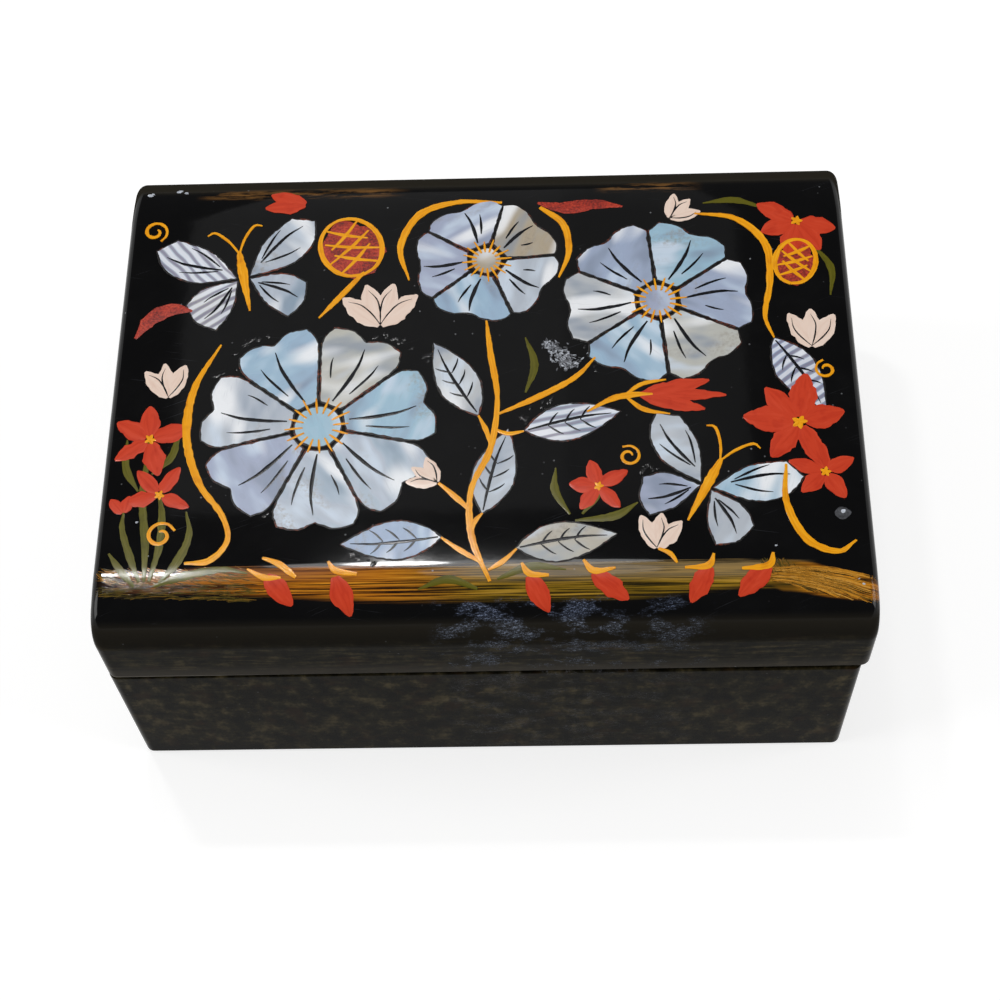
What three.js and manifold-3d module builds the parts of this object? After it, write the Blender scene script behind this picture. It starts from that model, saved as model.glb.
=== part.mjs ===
// A lacquered wooden box with a hinged lid and mother-of-pearl let into the lid.
// Millimetres, +Z up. The front faces -Y, and the origin is under the middle of the base.

import * as THREE from 'three';
import { mergeVertices } from 'three/addons/utils/BufferGeometryUtils.js';
import Module from 'manifold-3d';

const wasm = await Module();
wasm.setup();

// Box and boards; the lid is a little longer than the base at its right end
const boxWidth = 160;
const boxDepth = 117;
const baseHeight = 42.4;
const lidHeight = 22.5;
const lidOverhang = 1.4;
const wallThickness = 7.5;
const bottomThickness = 5;
const panelThickness = 8;

// Seam between base and lid: even all round, and wider where the lid has warped at its front right
const seamGap = 0.3;
const seamLift = 1.2;

// Edges
const longEdgeRadius = 9;
const sideEdgeRadius = 2.2;
const cornerRadius = 2;
const footRadius = 0.8;
const arcSegments = 8;

// Hinges: two small butt hinges let into the back of the seam
const hingeFromEnd = 35;
const leafWidth = 18;
const leafThickness = 1;
const leafDepth = 5.2;
const knuckleRadius = 1.5;
const middleKnuckle = 6;
const pinRadius = 0.55;
const hingeClearance = 0.3;
const openingAngle = 105;
const stopMargin = 2;

// Hinge screws
const screwHeadRadius = 1.1;
const screwHeadHeight = 0.6;
const screwShankRadius = 0.5;
const screwLength = 6;
const screwInset = 4;
const screwFromAxis = 3.3;
const screwSlotWidth = 0.35;
const screwSlotDepth = 0.25;
const screwClearance = 0.25;
const roundSegments = 20;

// Inlay: thin plates, each in its own recess, drawn on a sheet that is spread over the flat of the lid
const plateThickness = 1;
const plateGap = 0.3;
const mosaicGap = 0.5;
const fieldMarginSide = 5;
const fieldMarginFront = 1.5;
const sheetWidth = 150;
const sheetDepth = 96;

// Blossoms, each with its centre's distance from the sheet's left and front edges
const largeBlossom = { petals: 7, eyeRadius: 5.2, reach: 25, fromLeft: 40, fromFront: 37, turn: 14 };
const mediumBlossom = { petals: 6, eyeRadius: 4.3, reach: 20.5, fromLeft: 113, fromFront: 67.5, turn: 5 };
const smallBlossom = { petals: 5, eyeRadius: 3.5, reach: 15.5, fromLeft: 75.5, fromFront: 79, turn: 40 };

// Butterflies and leaves stand off a blossom's rim by their room, in the direction of their bearing
const upperButterfly = { foreSpan: 18, hindSpan: 16, room: 17.5, bearing: 115.3, turn: 12 };
const lowerButterfly = { foreSpan: 17, hindSpan: 15, room: 26.7, bearing: -79.9, turn: -28 };
const leafLength = 21;
const leafBreadth = 9.5;
const largeBlossomLeaves = [
  { room: 12.8, bearing: -45, turn: 184 },
  { room: 16, bearing: -31.7, turn: 75 },
  { room: 26.2, bearing: -35.3, turn: 8 },
  { room: 9.1, bearing: 3.5, turn: 118 }];
const mediumBlossomLeaves = [
  { room: 23.2, bearing: -132.2, turn: 12 },
  { room: 6, bearing: -22.6, turn: -62 }];

// Heights and places that follow
const lidFoot = baseHeight + seamGap;
const lidTop = lidFoot + lidHeight;
const railTop = lidTop - panelThickness;
const halfWidth = boxWidth / 2;
const halfDepth = boxDepth / 2;
const innerHalfWidth = halfWidth - wallThickness;
const baseRight = halfWidth - lidOverhang;
const innerHalfDepth = halfDepth - wallThickness;
const axisY = halfDepth - knuckleRadius;
const axisZ = baseHeight + seamGap / 2;
const overshoot = 1;

// Axes that an outline's own x, y and depth are laid along
const alongX = new THREE.Matrix4().makeBasis(
  new THREE.Vector3(0, 1, 0), new THREE.Vector3(0, 0, 1), new THREE.Vector3(1, 0, 0));
const alongY = new THREE.Matrix4().makeBasis(
  new THREE.Vector3(1, 0, 0), new THREE.Vector3(0, 0, 1), new THREE.Vector3(0, -1, 0));

function toSolid(geometry) {
  const bare = geometry.clone();
  bare.deleteAttribute('normal');
  bare.deleteAttribute('uv');
  const merged = mergeVertices(bare, 1e-4);
  return new wasm.Manifold(new wasm.Mesh({
    numProp: 3,
    vertProperties: new Float32Array(merged.attributes.position.array),
    triVerts: new Uint32Array(merged.index.array),
  }));
}

function toGeometry(solid) {
  const mesh = solid.getMesh();
  const geometry = new THREE.BufferGeometry();
  geometry.setAttribute('position', new THREE.BufferAttribute(new Float32Array(mesh.vertProperties), 3));
  geometry.setIndex(new THREE.BufferAttribute(new Uint32Array(mesh.triVerts), 1));
  geometry.computeVertexNormals();
  return geometry;
}

function block(x0, x1, y0, y1, z0, z1) {
  const geometry = new THREE.BoxGeometry(x1 - x0, y1 - y0, z1 - z0);
  geometry.translate((x0 + x1) / 2, (y0 + y1) / 2, (z0 + z1) / 2);
  return toSolid(geometry);
}

// A shape drawn across the box and run the given length, centred on the box
function bar(shape, length, basis) {
  const geometry = new THREE.ExtrudeGeometry(
    shape, { depth: length, bevelEnabled: false, curveSegments: arcSegments });
  geometry.translate(0, 0, -length / 2);
  geometry.applyMatrix4(basis);
  return toSolid(geometry);
}

function rod(radius, x0, x1) {
  const geometry = new THREE.CylinderGeometry(radius, radius, x1 - x0, roundSegments);
  geometry.rotateZ(Math.PI / 2);
  geometry.translate((x0 + x1) / 2, axisY, axisZ);
  return toSolid(geometry);
}

// A four-cornered outline with its own radius at the foot and at the head
function roundedShape(width, low, high, footR, headR) {
  const half = width / 2;
  const foot = Math.min(footR, half);
  const head = Math.min(headR, half, high - low);
  const shape = new THREE.Shape();
  shape.moveTo(-half + foot, low);
  shape.lineTo(half - foot, low);
  if (foot > 0) shape.absarc(half - foot, low + foot, foot, -Math.PI / 2, 0, false);
  shape.lineTo(half, high - head);
  if (head > 0) shape.absarc(half - head, high - head, head, 0, Math.PI / 2, false);
  shape.lineTo(-half + head, high);
  if (head > 0) shape.absarc(-half + head, high - head, head, Math.PI / 2, Math.PI, false);
  shape.lineTo(-half, low + foot);
  if (foot > 0) shape.absarc(-half + foot, low + foot, foot, Math.PI, 1.5 * Math.PI, false);
  return shape;
}

// The outer form that the boards of the base or of the lid are planed to together
function outerForm(right, low, high, footR, longR, sideR) {
  const width = right + halfWidth;
  const plan = roundedShape(width, -halfDepth, halfDepth, cornerRadius, cornerRadius);
  const standing = new THREE.ExtrudeGeometry(
    plan, { depth: high - low, bevelEnabled: false, curveSegments: arcSegments });
  standing.translate(0, 0, low);
  const across = bar(roundedShape(boxDepth, low, high, footR, longR), width, alongX);
  const lengthwise = bar(roundedShape(width, low, high, footR, sideR), boxDepth, alongY);
  return toSolid(standing).intersect(across).intersect(lengthwise).translate((right - halfWidth) / 2, 0, 0);
}

function lacquer() {
  return new THREE.MeshStandardMaterial({ color: 0x0d0b0b, roughness: 0.18, metalness: 0 });
}

function brass() {
  return new THREE.MeshStandardMaterial({ color: 0xb08a3e, roughness: 0.35, metalness: 1 });
}

function steel() {
  return new THREE.MeshStandardMaterial({ color: 0x9a9a98, roughness: 0.4, metalness: 1 });
}

const pearl = 0xc8d2d6;
const blush = 0xd9c3bd;
const sea = 0xb4c9c0;
const sand = 0xd0c7b0;
const petalTints = [pearl, blush, pearl, sea];

function shell(tint) {
  return new THREE.MeshStandardMaterial({ color: tint, roughness: 0.25, metalness: 0.1 });
}

function named(name, geometry, material) {
  const mesh = new THREE.Mesh(geometry, material);
  mesh.name = name;
  return mesh;
}

// Inlay outlines, each in its own axes

// A petal in its share of the ring round the eye, lying along +X, with a notched tip
function petalOutline(count, eyeRadius, reach) {
  const notchDepth = 0.08 * reach;
  const steps = [[0, 0.96], [0.4, 1], [0.74, 1], [0.93, 0.72], [1, 0.34]];
  const start = eyeRadius + mosaicGap;
  const side = steps.map(([along, share]) => {
    const r = start + (reach - start) * along;
    const sector = r * Math.tan(Math.PI / count) - mosaicGap / 2 / Math.cos(Math.PI / count);
    return [r, sector * share];
  });
  const right = side.map(([r, h]) => new THREE.Vector2(r, -h));
  const left = side.map(([r, h]) => new THREE.Vector2(r, h)).reverse();
  return [...right, new THREE.Vector2(reach - notchDepth, 0), ...left];
}

function eyeOutline(radius) {
  const corners = 12;
  return Array.from({ length: corners }, (_, i) => {
    const angle = 2 * Math.PI * i / corners;
    return new THREE.Vector2(radius * Math.cos(angle), radius * Math.sin(angle));
  });
}

// A leaf from its stalk at the origin to its tip along +X, fullest before the middle
function leafOutline(length, width) {
  const steps = [[0.12, 0.5], [0.36, 1], [0.62, 0.86], [0.84, 0.42]];
  const right = steps.map(([along, share]) => new THREE.Vector2(length * along, -width / 2 * share));
  const left = steps.map(([along, share]) => new THREE.Vector2(length * along, width / 2 * share)).reverse();
  return [new THREE.Vector2(0, 0), ...right, new THREE.Vector2(length, 0), ...left];
}

// Wings of a butterfly with its body along Y, on its right side
function foreWingOutline(span) {
  return [[0.08, 0.02], [0.62, 0.04], [0.97, 0.34], [1, 0.66], [0.72, 0.76], [0.3, 0.5]]
    .map(([x, y]) => new THREE.Vector2(span * x, span * y));
}

function hindWingOutline(span) {
  return [[0.08, -0.02], [0.22, -0.5], [0.5, -0.76], [0.76, -0.6], [0.84, -0.26], [0.6, -0.02]]
    .map(([x, y]) => new THREE.Vector2(span * x, span * y));
}

function mirrored(outline) {
  return outline.map((p) => new THREE.Vector2(-p.x, p.y)).reverse();
}

// The outline moved outwards by an even distance
function widened(outline, distance) {
  return outline.map((here, i) => {
    const before = outline[(i + outline.length - 1) % outline.length];
    const after = outline[(i + 1) % outline.length];
    const edgeIn = here.clone().sub(before).normalize();
    const edgeOut = after.clone().sub(here).normalize();
    const normalIn = new THREE.Vector2(edgeIn.y, -edgeIn.x);
    const normalOut = new THREE.Vector2(edgeOut.y, -edgeOut.x);
    const miter = normalIn.clone().add(normalOut).normalize();
    return here.clone().addScaledVector(miter, distance / Math.max(miter.dot(normalIn), 0.5));
  });
}

function slab(outline, low, high) {
  const geometry = new THREE.ExtrudeGeometry(
    new THREE.Shape(outline), { depth: high - low, bevelEnabled: false });
  geometry.translate(0, 0, low);
  return geometry;
}

function plate(name, outline, tint) {
  const mesh = named(name, slab(outline, lidTop - plateThickness, lidTop), shell(tint));
  mesh.userData.outline = outline;
  return mesh;
}

function blossom(name, { petals, eyeRadius, reach, turn }) {
  const group = new THREE.Group();
  group.rotation.z = THREE.MathUtils.degToRad(turn);
  group.add(plate(`${name}_eye`, eyeOutline(eyeRadius), sand));
  for (let i = 0; i < petals; i += 1) {
    const tint = petalTints[i % petalTints.length];
    const petal = plate(`${name}_petal_${i + 1}`, petalOutline(petals, eyeRadius, reach), tint);
    petal.rotation.z = 2 * Math.PI * i / petals;
    group.add(petal);
  }
  return group;
}

function butterfly(name, { foreSpan, hindSpan }) {
  const group = new THREE.Group();
  const fore = foreWingOutline(foreSpan);
  const hind = hindWingOutline(hindSpan);
  group.add(plate(`${name}_right_fore_wing`, fore, pearl));
  group.add(plate(`${name}_left_fore_wing`, mirrored(fore), blush));
  group.add(plate(`${name}_right_hind_wing`, hind, sand));
  group.add(plate(`${name}_left_hind_wing`, mirrored(hind), pearl));
  return group;
}

// Something set off the rim of a blossom
function offRim(object, blossomSizes, { room, bearing, turn }) {
  const angle = THREE.MathUtils.degToRad(bearing);
  const distance = blossomSizes.reach + room;
  object.position.set(distance * Math.cos(angle), distance * Math.sin(angle), 0);
  object.rotation.z = THREE.MathUtils.degToRad(turn);
  return object;
}

// A blossom with what stands round it, placed on the lid and scaled together
function spray(sizes, ...members) {
  const flatWidth = boxWidth - 2 * fieldMarginSide;
  const flatDepth = boxDepth - 2 * longEdgeRadius - 2 * fieldMarginFront;
  const spreadX = flatWidth / sheetWidth;
  const spreadY = flatDepth / sheetDepth;
  const group = new THREE.Group();
  group.position.set(
    (sizes.fromLeft - sheetWidth / 2) * spreadX, (sizes.fromFront - sheetDepth / 2) * spreadY, 0);
  group.scale.set(Math.min(spreadX, spreadY), Math.min(spreadX, spreadY), 1);
  group.add(...members);
  return group;
}

function inlay() {
  const leaf = (sizes, count) => (place, i) => offRim(
    plate(`leaf_${count + i + 1}`, leafOutline(leafLength, leafBreadth), sea), sizes, place);
  const sheet = new THREE.Group();
  sheet.add(
    spray(largeBlossom, blossom('large_blossom', largeBlossom),
      offRim(butterfly('upper_butterfly', upperButterfly), largeBlossom, upperButterfly),
      ...largeBlossomLeaves.map(leaf(largeBlossom, 0))),
    spray(mediumBlossom, blossom('medium_blossom', mediumBlossom),
      offRim(butterfly('lower_butterfly', lowerButterfly), mediumBlossom, lowerButterfly),
      ...mediumBlossomLeaves.map(leaf(mediumBlossom, largeBlossomLeaves.length))),
    spray(smallBlossom, blossom('small_blossom', smallBlossom)));
  sheet.updateMatrixWorld(true);
  return sheet;
}

// Boards of the base
function base() {
  const form = outerForm(baseRight, 0, baseHeight, footRadius, 0, 0);
  const board = (name, solid) => named(name, toGeometry(solid.intersect(form)), lacquer());
  const low = bottomThickness;
  let back = block(-halfWidth, baseRight, innerHalfDepth, halfDepth, low, baseHeight)
    .subtract(hingeGroove(-1));
  for (const hinge of hinges) back = back.subtract(hinge.baseRoom);
  return [
    board('base_bottom', block(-halfWidth, baseRight, -halfDepth, halfDepth, 0, low)),
    board('base_front_wall', block(-halfWidth, baseRight, -halfDepth, -innerHalfDepth, low, baseHeight)),
    board('base_back_wall', back),
    board('base_left_wall',
      block(-halfWidth, -innerHalfWidth, -innerHalfDepth, innerHalfDepth, low, baseHeight)),
    board('base_right_wall',
      block(baseRight - wallThickness, baseRight, -innerHalfDepth, innerHalfDepth, low, baseHeight)),
  ];
}

// Boards of the lid, and its panel with a recess for each plate
function lid(plates) {
  const form = outerForm(halfWidth, lidFoot, lidTop, 0, longEdgeRadius, sideEdgeRadius);
  const board = (name, solid) => named(name, toGeometry(solid.intersect(form)), lacquer());
  const front = new THREE.Shape([
    new THREE.Vector2(-halfWidth, lidFoot), new THREE.Vector2(halfWidth, lidFoot + seamLift),
    new THREE.Vector2(halfWidth, railTop), new THREE.Vector2(-halfWidth, railTop)]);
  const right = new THREE.Shape([
    new THREE.Vector2(-innerHalfDepth, lidFoot + seamLift), new THREE.Vector2(innerHalfDepth, lidFoot),
    new THREE.Vector2(innerHalfDepth, railTop), new THREE.Vector2(-innerHalfDepth, railTop)]);
  const frontRail = bar(front, wallThickness, alongY).translate(0, -halfDepth + wallThickness / 2, 0);
  const rightRail = bar(right, wallThickness, alongX).translate(halfWidth - wallThickness / 2, 0, 0);
  let back = block(-halfWidth, halfWidth, innerHalfDepth, halfDepth, lidFoot, railTop)
    .subtract(hingeGroove(1));
  for (const hinge of hinges) back = back.subtract(hinge.lidRoom);
  let panel = block(-halfWidth, halfWidth, -halfDepth, halfDepth, railTop, lidTop);
  for (const piece of plates) {
    const room = slab(widened(piece.userData.outline, plateGap), lidTop - plateThickness, lidTop + overshoot);
    panel = panel.subtract(toSolid(room.applyMatrix4(piece.matrixWorld)));
  }
  return [
    board('lid_panel', panel),
    board('lid_front_rail', frontRail),
    board('lid_back_rail', back),
    board('lid_left_rail',
      block(-halfWidth, -innerHalfWidth, -innerHalfDepth, innerHalfDepth, lidFoot, railTop)),
    board('lid_right_rail', rightRail),
  ];
}

// The groove along the back of the seam: its two slopes meet at the hinge axis and stop the open lid.
// side is -1 for the slope on the base and 1 for the one on the lid.
function hingeGroove(side) {
  const slope = Math.tan(THREE.MathUtils.degToRad((openingAngle + stopMargin) / 2));
  const reach = knuckleRadius + overshoot;
  const corners = [
    new THREE.Vector2(axisY, axisZ),
    new THREE.Vector2(axisY + reach, axisZ + side * reach * slope),
    new THREE.Vector2(axisY + reach, axisZ - side * overshoot),
    new THREE.Vector2(axisY, axisZ - side * overshoot)];
  return bar(new THREE.Shape(side < 0 ? corners.reverse() : corners), boxWidth + 2 * overshoot, alongX);
}

// A countersunk screw with its head's face at height 0 and its point below, grown by the clearance
function screwSolid(clearance) {
  const head = screwHeadRadius + clearance;
  const shank = screwShankRadius + clearance;
  const end = -screwLength - clearance;
  const profile = [
    new THREE.Vector2(0, end), new THREE.Vector2(shank / 2, end),
    new THREE.Vector2(shank, end + screwShankRadius * 2), new THREE.Vector2(shank, -screwHeadHeight),
    new THREE.Vector2(head, 0)];
  if (clearance > 0) profile.push(new THREE.Vector2(head, overshoot), new THREE.Vector2(0, overshoot));
  else profile.push(new THREE.Vector2(0, 0));
  const geometry = new THREE.LatheGeometry(profile, roundSegments);
  geometry.rotateX(Math.PI / 2);
  return toSolid(geometry);
}

function screw() {
  const slot = block(-screwHeadRadius * 2, screwHeadRadius * 2, -screwSlotWidth / 2, screwSlotWidth / 2,
    -screwSlotDepth, overshoot);
  return screwSolid(0).subtract(slot);
}

// One hinge: leaves, pin and screws, and the room that they need in the two back boards
function hinge(name, x) {
  const left = x - leafWidth / 2;
  const right = x + leafWidth / 2;
  const middleLeft = x - middleKnuckle / 2;
  const middleRight = x + middleKnuckle / 2;
  const leafFront = axisY - leafDepth;
  const bore = rod(pinRadius + hingeClearance, left - overshoot, right + overshoot);
  const roomRadius = knuckleRadius + hingeClearance;
  const middleRoom = rod(roomRadius, middleLeft - hingeClearance, middleRight + hingeClearance);
  const leftRoom = rod(roomRadius, left - overshoot, middleLeft);
  const rightRoom = rod(roomRadius, middleRight, right + overshoot);
  const screwXs = [left + screwInset, right - screwInset];
  const screwY = axisY - screwFromAxis;
  const knuckleRoom = rod(roomRadius, left - hingeClearance, right + hingeClearance);
  const mortise = (low, high) => block(left - hingeClearance, right + hingeClearance,
    leafFront - hingeClearance, axisY, low, high).add(knuckleRoom);

  const turnedOver = (solid, up) => (up ? solid : solid.rotate([180, 0, 0]));
  const screwsAt = (z, up, grown) => screwXs.map(
    (sx) => turnedOver(grown ? screwSolid(screwClearance) : screw(), up).translate(sx, screwY, z));

  let baseLeaf = block(left, right, leafFront, axisY, baseHeight - leafThickness, baseHeight)
    .subtract(middleRoom)
    .add(rod(knuckleRadius, left, middleLeft - hingeClearance))
    .add(rod(knuckleRadius, middleRight + hingeClearance, right))
    .subtract(bore);
  let lidLeaf = block(left, right, leafFront, axisY, lidFoot, lidFoot + leafThickness)
    .subtract(leftRoom).subtract(rightRoom)
    .add(rod(knuckleRadius, middleLeft, middleRight))
    .subtract(bore);
  let baseRoom = mortise(baseHeight - leafThickness, baseHeight + overshoot);
  let lidRoom = mortise(lidFoot - overshoot, lidFoot + leafThickness);
  for (const hole of screwsAt(baseHeight, true, true)) {
    baseLeaf = baseLeaf.subtract(hole);
    baseRoom = baseRoom.add(hole);
  }
  for (const hole of screwsAt(lidFoot, false, true)) {
    lidLeaf = lidLeaf.subtract(hole);
    lidRoom = lidRoom.add(hole);
  }
  const baseScrews = screwsAt(baseHeight, true, false).map(
    (solid, i) => named(`${name}_base_screw_${i + 1}`, toGeometry(solid), brass()));
  const lidScrews = screwsAt(lidFoot, false, false).map(
    (solid, i) => named(`${name}_lid_screw_${i + 1}`, toGeometry(solid), brass()));
  const pieces = [
    named(`${name}_base_leaf`, toGeometry(baseLeaf), brass()),
    named(`${name}_lid_leaf`, toGeometry(lidLeaf), brass()),
    named(`${name}_pin`, toGeometry(rod(pinRadius, left, right)), steel()),
    ...baseScrews, ...lidScrews];
  return { pieces, baseRoom, lidRoom };
}

const hinges = [
  hinge('left_hinge', -halfWidth + hingeFromEnd), hinge('right_hinge', halfWidth - hingeFromEnd)];

const box = new THREE.Group();
const inlaySheet = inlay();
const plates = [];
inlaySheet.traverse((object) => { if (object.isMesh) plates.push(object); });
box.add(...base(), ...lid(plates), inlaySheet);
for (const { pieces } of hinges) box.add(...pieces);

export default box;
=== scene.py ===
# The painted box in its finish: black lacquer, mother-of-pearl let into the lid, and hand painting over it.
# Lengths are metres in the frame, and millimetres in what is drawn on the lid.
import math
import random

import bmesh
import bpy
import numpy as np
from mathutils import Matrix, Vector, noise


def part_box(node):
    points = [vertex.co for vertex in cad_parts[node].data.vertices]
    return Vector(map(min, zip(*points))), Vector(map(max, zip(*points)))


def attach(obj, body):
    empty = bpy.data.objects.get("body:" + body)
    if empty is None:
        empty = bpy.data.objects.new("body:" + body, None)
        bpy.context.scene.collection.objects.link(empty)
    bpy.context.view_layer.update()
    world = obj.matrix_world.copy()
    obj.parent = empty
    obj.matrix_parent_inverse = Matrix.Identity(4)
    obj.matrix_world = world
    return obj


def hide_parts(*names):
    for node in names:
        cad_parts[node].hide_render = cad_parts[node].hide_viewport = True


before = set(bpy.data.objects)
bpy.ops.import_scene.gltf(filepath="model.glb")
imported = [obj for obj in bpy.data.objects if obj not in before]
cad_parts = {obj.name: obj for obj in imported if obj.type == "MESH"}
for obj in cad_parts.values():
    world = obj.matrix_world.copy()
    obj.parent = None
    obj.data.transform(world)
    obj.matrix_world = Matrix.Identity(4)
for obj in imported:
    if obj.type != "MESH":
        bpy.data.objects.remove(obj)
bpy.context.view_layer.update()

# Camera.
# It stands before the box, a little to its right, and looks down on the lid.
# It is turned slightly about its own line of sight, as a camera held in the hand is.
view_azimuth = math.radians(3.74)
view_elevation = math.radians(61.44)
view_roll = math.radians(-4.22)
view_distance = 0.4355
view_target = Vector((0.0027, -0.0158, 0.040))
focal_length_over_frame = 1.969
sensor_width = 36
nearest_seen = 0.01


def placed(name, data):
    """A new object of the scene."""
    made = bpy.data.objects.new(name, data)
    bpy.context.scene.collection.objects.link(made)
    return made


camera = placed("camera", bpy.data.cameras.new("camera"))
camera.data.sensor_width = sensor_width
camera.data.lens = sensor_width * focal_length_over_frame
camera.data.clip_start = nearest_seen
bpy.context.scene.camera = camera
turned = Matrix.Rotation(view_azimuth, 4, "Z") @ Matrix.Rotation(math.pi / 2 - view_elevation, 4, "X")
turned = turned @ Matrix.Rotation(view_roll, 4, "Z")
camera.matrix_world = Matrix.Translation(view_target) @ turned @ Matrix.Translation((0, 0, view_distance))

# Base case.
# Four walls and a bottom of thin hardwood, glued edge to edge and planed flush, then ground and lacquered
# black in many coats, so that no joint shows outside. The inside has a single coat of dark red.
mm = 0.001
face_gloss = 0.012
foot_radius = 0.8 * mm
base_corner_radius = 2 * mm
corner_steps = 10
foot_steps = 6
seam_steps = 4
seam_arris = 0.4 * mm
opening_half_angle = math.radians(53.5)
pin_to_back = 1.5 * mm
knuckle_room_radius = 1.8 * mm
knuckle_room_sides = 24
mortise_clearance = 0.3 * mm
mortise_depth = 1 * mm
overcut = 2 * mm
crease = math.radians(32)
base_boards = ("base_bottom", "base_front_wall", "base_back_wall", "base_left_wall", "base_right_wall")


def reach(boards):
    """The lowest and highest corner of several boards together."""
    corners = np.array([[tuple(corner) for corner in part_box(board)] for board in boards])
    return Vector(corners[:, 0].min(0)), Vector(corners[:, 1].max(0))


def arc(centre, radius, start, end, steps):
    """Points (y, z) on an arc from one angle to another, in degrees, with both ends."""
    angles = [math.radians(start + (end - start) * i / steps) for i in range(steps + 1)]
    return [(centre[0] + radius * math.cos(a), centre[1] + radius * math.sin(a)) for a in angles]


def skin(rings, count):
    """Faces from each ring of points to the next, where each ring has so many."""
    return [(i + j, i + (j + 1) % count, i + count + (j + 1) % count, i + count + j)
            for i in range(0, (rings - 1) * count, count) for j in range(count)]


def closed_mesh(name, points, faces):
    """A mesh with all its faces turned outward."""
    mesh = bpy.data.meshes.new(name)
    mesh.from_pydata(points, [], faces)
    shape = bmesh.new()
    shape.from_mesh(mesh)
    bmesh.ops.recalc_face_normals(shape, faces=shape.faces)
    shape.to_mesh(mesh)
    shape.free()
    return mesh


def loft(name, rings):
    """A closed solid through rings of points, with the first and last ring filled."""
    count = len(rings[0])
    faces = [tuple(range(count)), tuple(range((len(rings) - 1) * count, len(rings) * count))]
    points = [point for ring in rings for point in ring]
    return placed(name, closed_mesh(name, points, faces + skin(len(rings), count)))


def block(low, high):
    """A plain block to cut with."""
    corners = [(low[1], low[2]), (high[1], low[2]), (high[1], high[2]), (low[1], high[2])]
    return loft("cutter", [[(x, y, z) for y, z in corners] for x in (low[0], high[0])])


def cut(solid, cutters):
    """Takes the cutters out of the solid, for good."""
    for cutter in cutters:
        tool = solid.modifiers.new("cut", "BOOLEAN")
        tool.operation = "DIFFERENCE"
        tool.solver = "EXACT"
        tool.object = cutter
    bpy.context.view_layer.update()
    evaluated = solid.evaluated_get(bpy.context.evaluated_depsgraph_get())
    mesh = bpy.data.meshes.new_from_object(evaluated)
    solid.modifiers.clear()
    solid.data = mesh
    mesh.name = solid.name
    for cutter in cutters:
        bpy.data.objects.remove(cutter)


def end_sections(left, right, radius, steps):
    """Where sections stand along the case: x, the distance to the nearer end, and how far it is drawn in."""
    angles = [math.pi / 2 * i / steps for i in range(steps + 1)]
    near = [(radius * (1 - math.cos(a)), radius * (1 - math.sin(a))) for a in angles]
    return [(left + d, d, e) for d, e in near] + [(right - d, d, e) for d, e in reversed(near)]


def eased(distance, radius):
    """How far a rounded edge has fallen away at a distance from the face."""
    return radius - math.sqrt(radius ** 2 - (radius - min(distance, radius)) ** 2)


def hinge_rooms(low, high):
    """Cutters for the leaf of each hinge between two heights, and for its knuckle."""
    rooms = []
    for side in ("left", "right"):
        leaf_low, leaf_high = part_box(f"{side}_hinge_base_leaf")
        left = leaf_low.x - mortise_clearance
        right = leaf_high.x + mortise_clearance
        rooms.append(block((left, leaf_low.y - mortise_clearance, low), (right, pin_y, high)))
        knuckle = arc((pin_y, pin_z), knuckle_room_radius, 0, 360, knuckle_room_sides)[:-1]
        rooms.append(loft("cutter", [[(x, y, z) for y, z in knuckle] for x in (left, right)]))
    return rooms


def dress(case, low, high, outside, inside):
    """Gives the case its smooth shading and its two finishes: the inside one lies within the hollow."""
    case.data.materials.clear()
    case.data.materials.append(outside)
    case.data.materials.append(inside)
    slack = 0.05 * mm
    for face in case.data.polygons:
        within = all(low[i] - slack < face.center[i] < high[i] + slack for i in range(3))
        face.material_index = 1 if within else 0
    case.data.shade_smooth()
    case.data.set_sharp_from_angle(angle=crease)
    weighted = case.modifiers.new("even_shading", "WEIGHTED_NORMAL")
    weighted.keep_sharp = True


base_low, base_high = reach(base_boards)
pin_y = base_high.y - pin_to_back
pin_z = (base_high.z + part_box("lid_left_rail")[0].z) / 2
groove_slope = math.tan(opening_half_angle)
sliver = 0.01 * mm


def base_section(x, to_end, drawn_in):
    """The outline of the base across its length, with the groove at the back where the lid's back swings."""
    front = base_low.y + drawn_in
    back = base_high.y - drawn_in
    foot = base_low.z + eased(to_end, foot_radius)
    top = base_high.z - eased(to_end, seam_arris)
    groove_y = min(pin_y + (pin_z - top) / groove_slope, back - 2 * sliver)
    groove_z = min(pin_z - (back - pin_y) * groove_slope, top - sliver)
    outline = arc((back - foot_radius, foot + foot_radius), foot_radius, 0, -90, foot_steps)
    outline += arc((front + foot_radius, foot + foot_radius), foot_radius, 270, 180, foot_steps)
    outline += arc((front + seam_arris, top - seam_arris), seam_arris, 180, 90, seam_steps)
    outline += [(groove_y, top), (back, groove_z)]
    return [(x, y, z) for y, z in outline]


base_hollow_low = Vector((
    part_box("base_left_wall")[1].x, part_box("base_front_wall")[1].y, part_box("base_bottom")[1].z))
base_hollow_high = Vector((
    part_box("base_right_wall")[0].x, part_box("base_back_wall")[0].y, base_high.z + overcut))
base_case = loft("base_case", [
    base_section(*place)
    for place in end_sections(base_low.x, base_high.x, base_corner_radius, corner_steps)])
base_rooms = hinge_rooms(base_high.z - mortise_depth, pin_z + overcut)
cut(base_case, [block(base_hollow_low, base_hollow_high)] + base_rooms)


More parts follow.
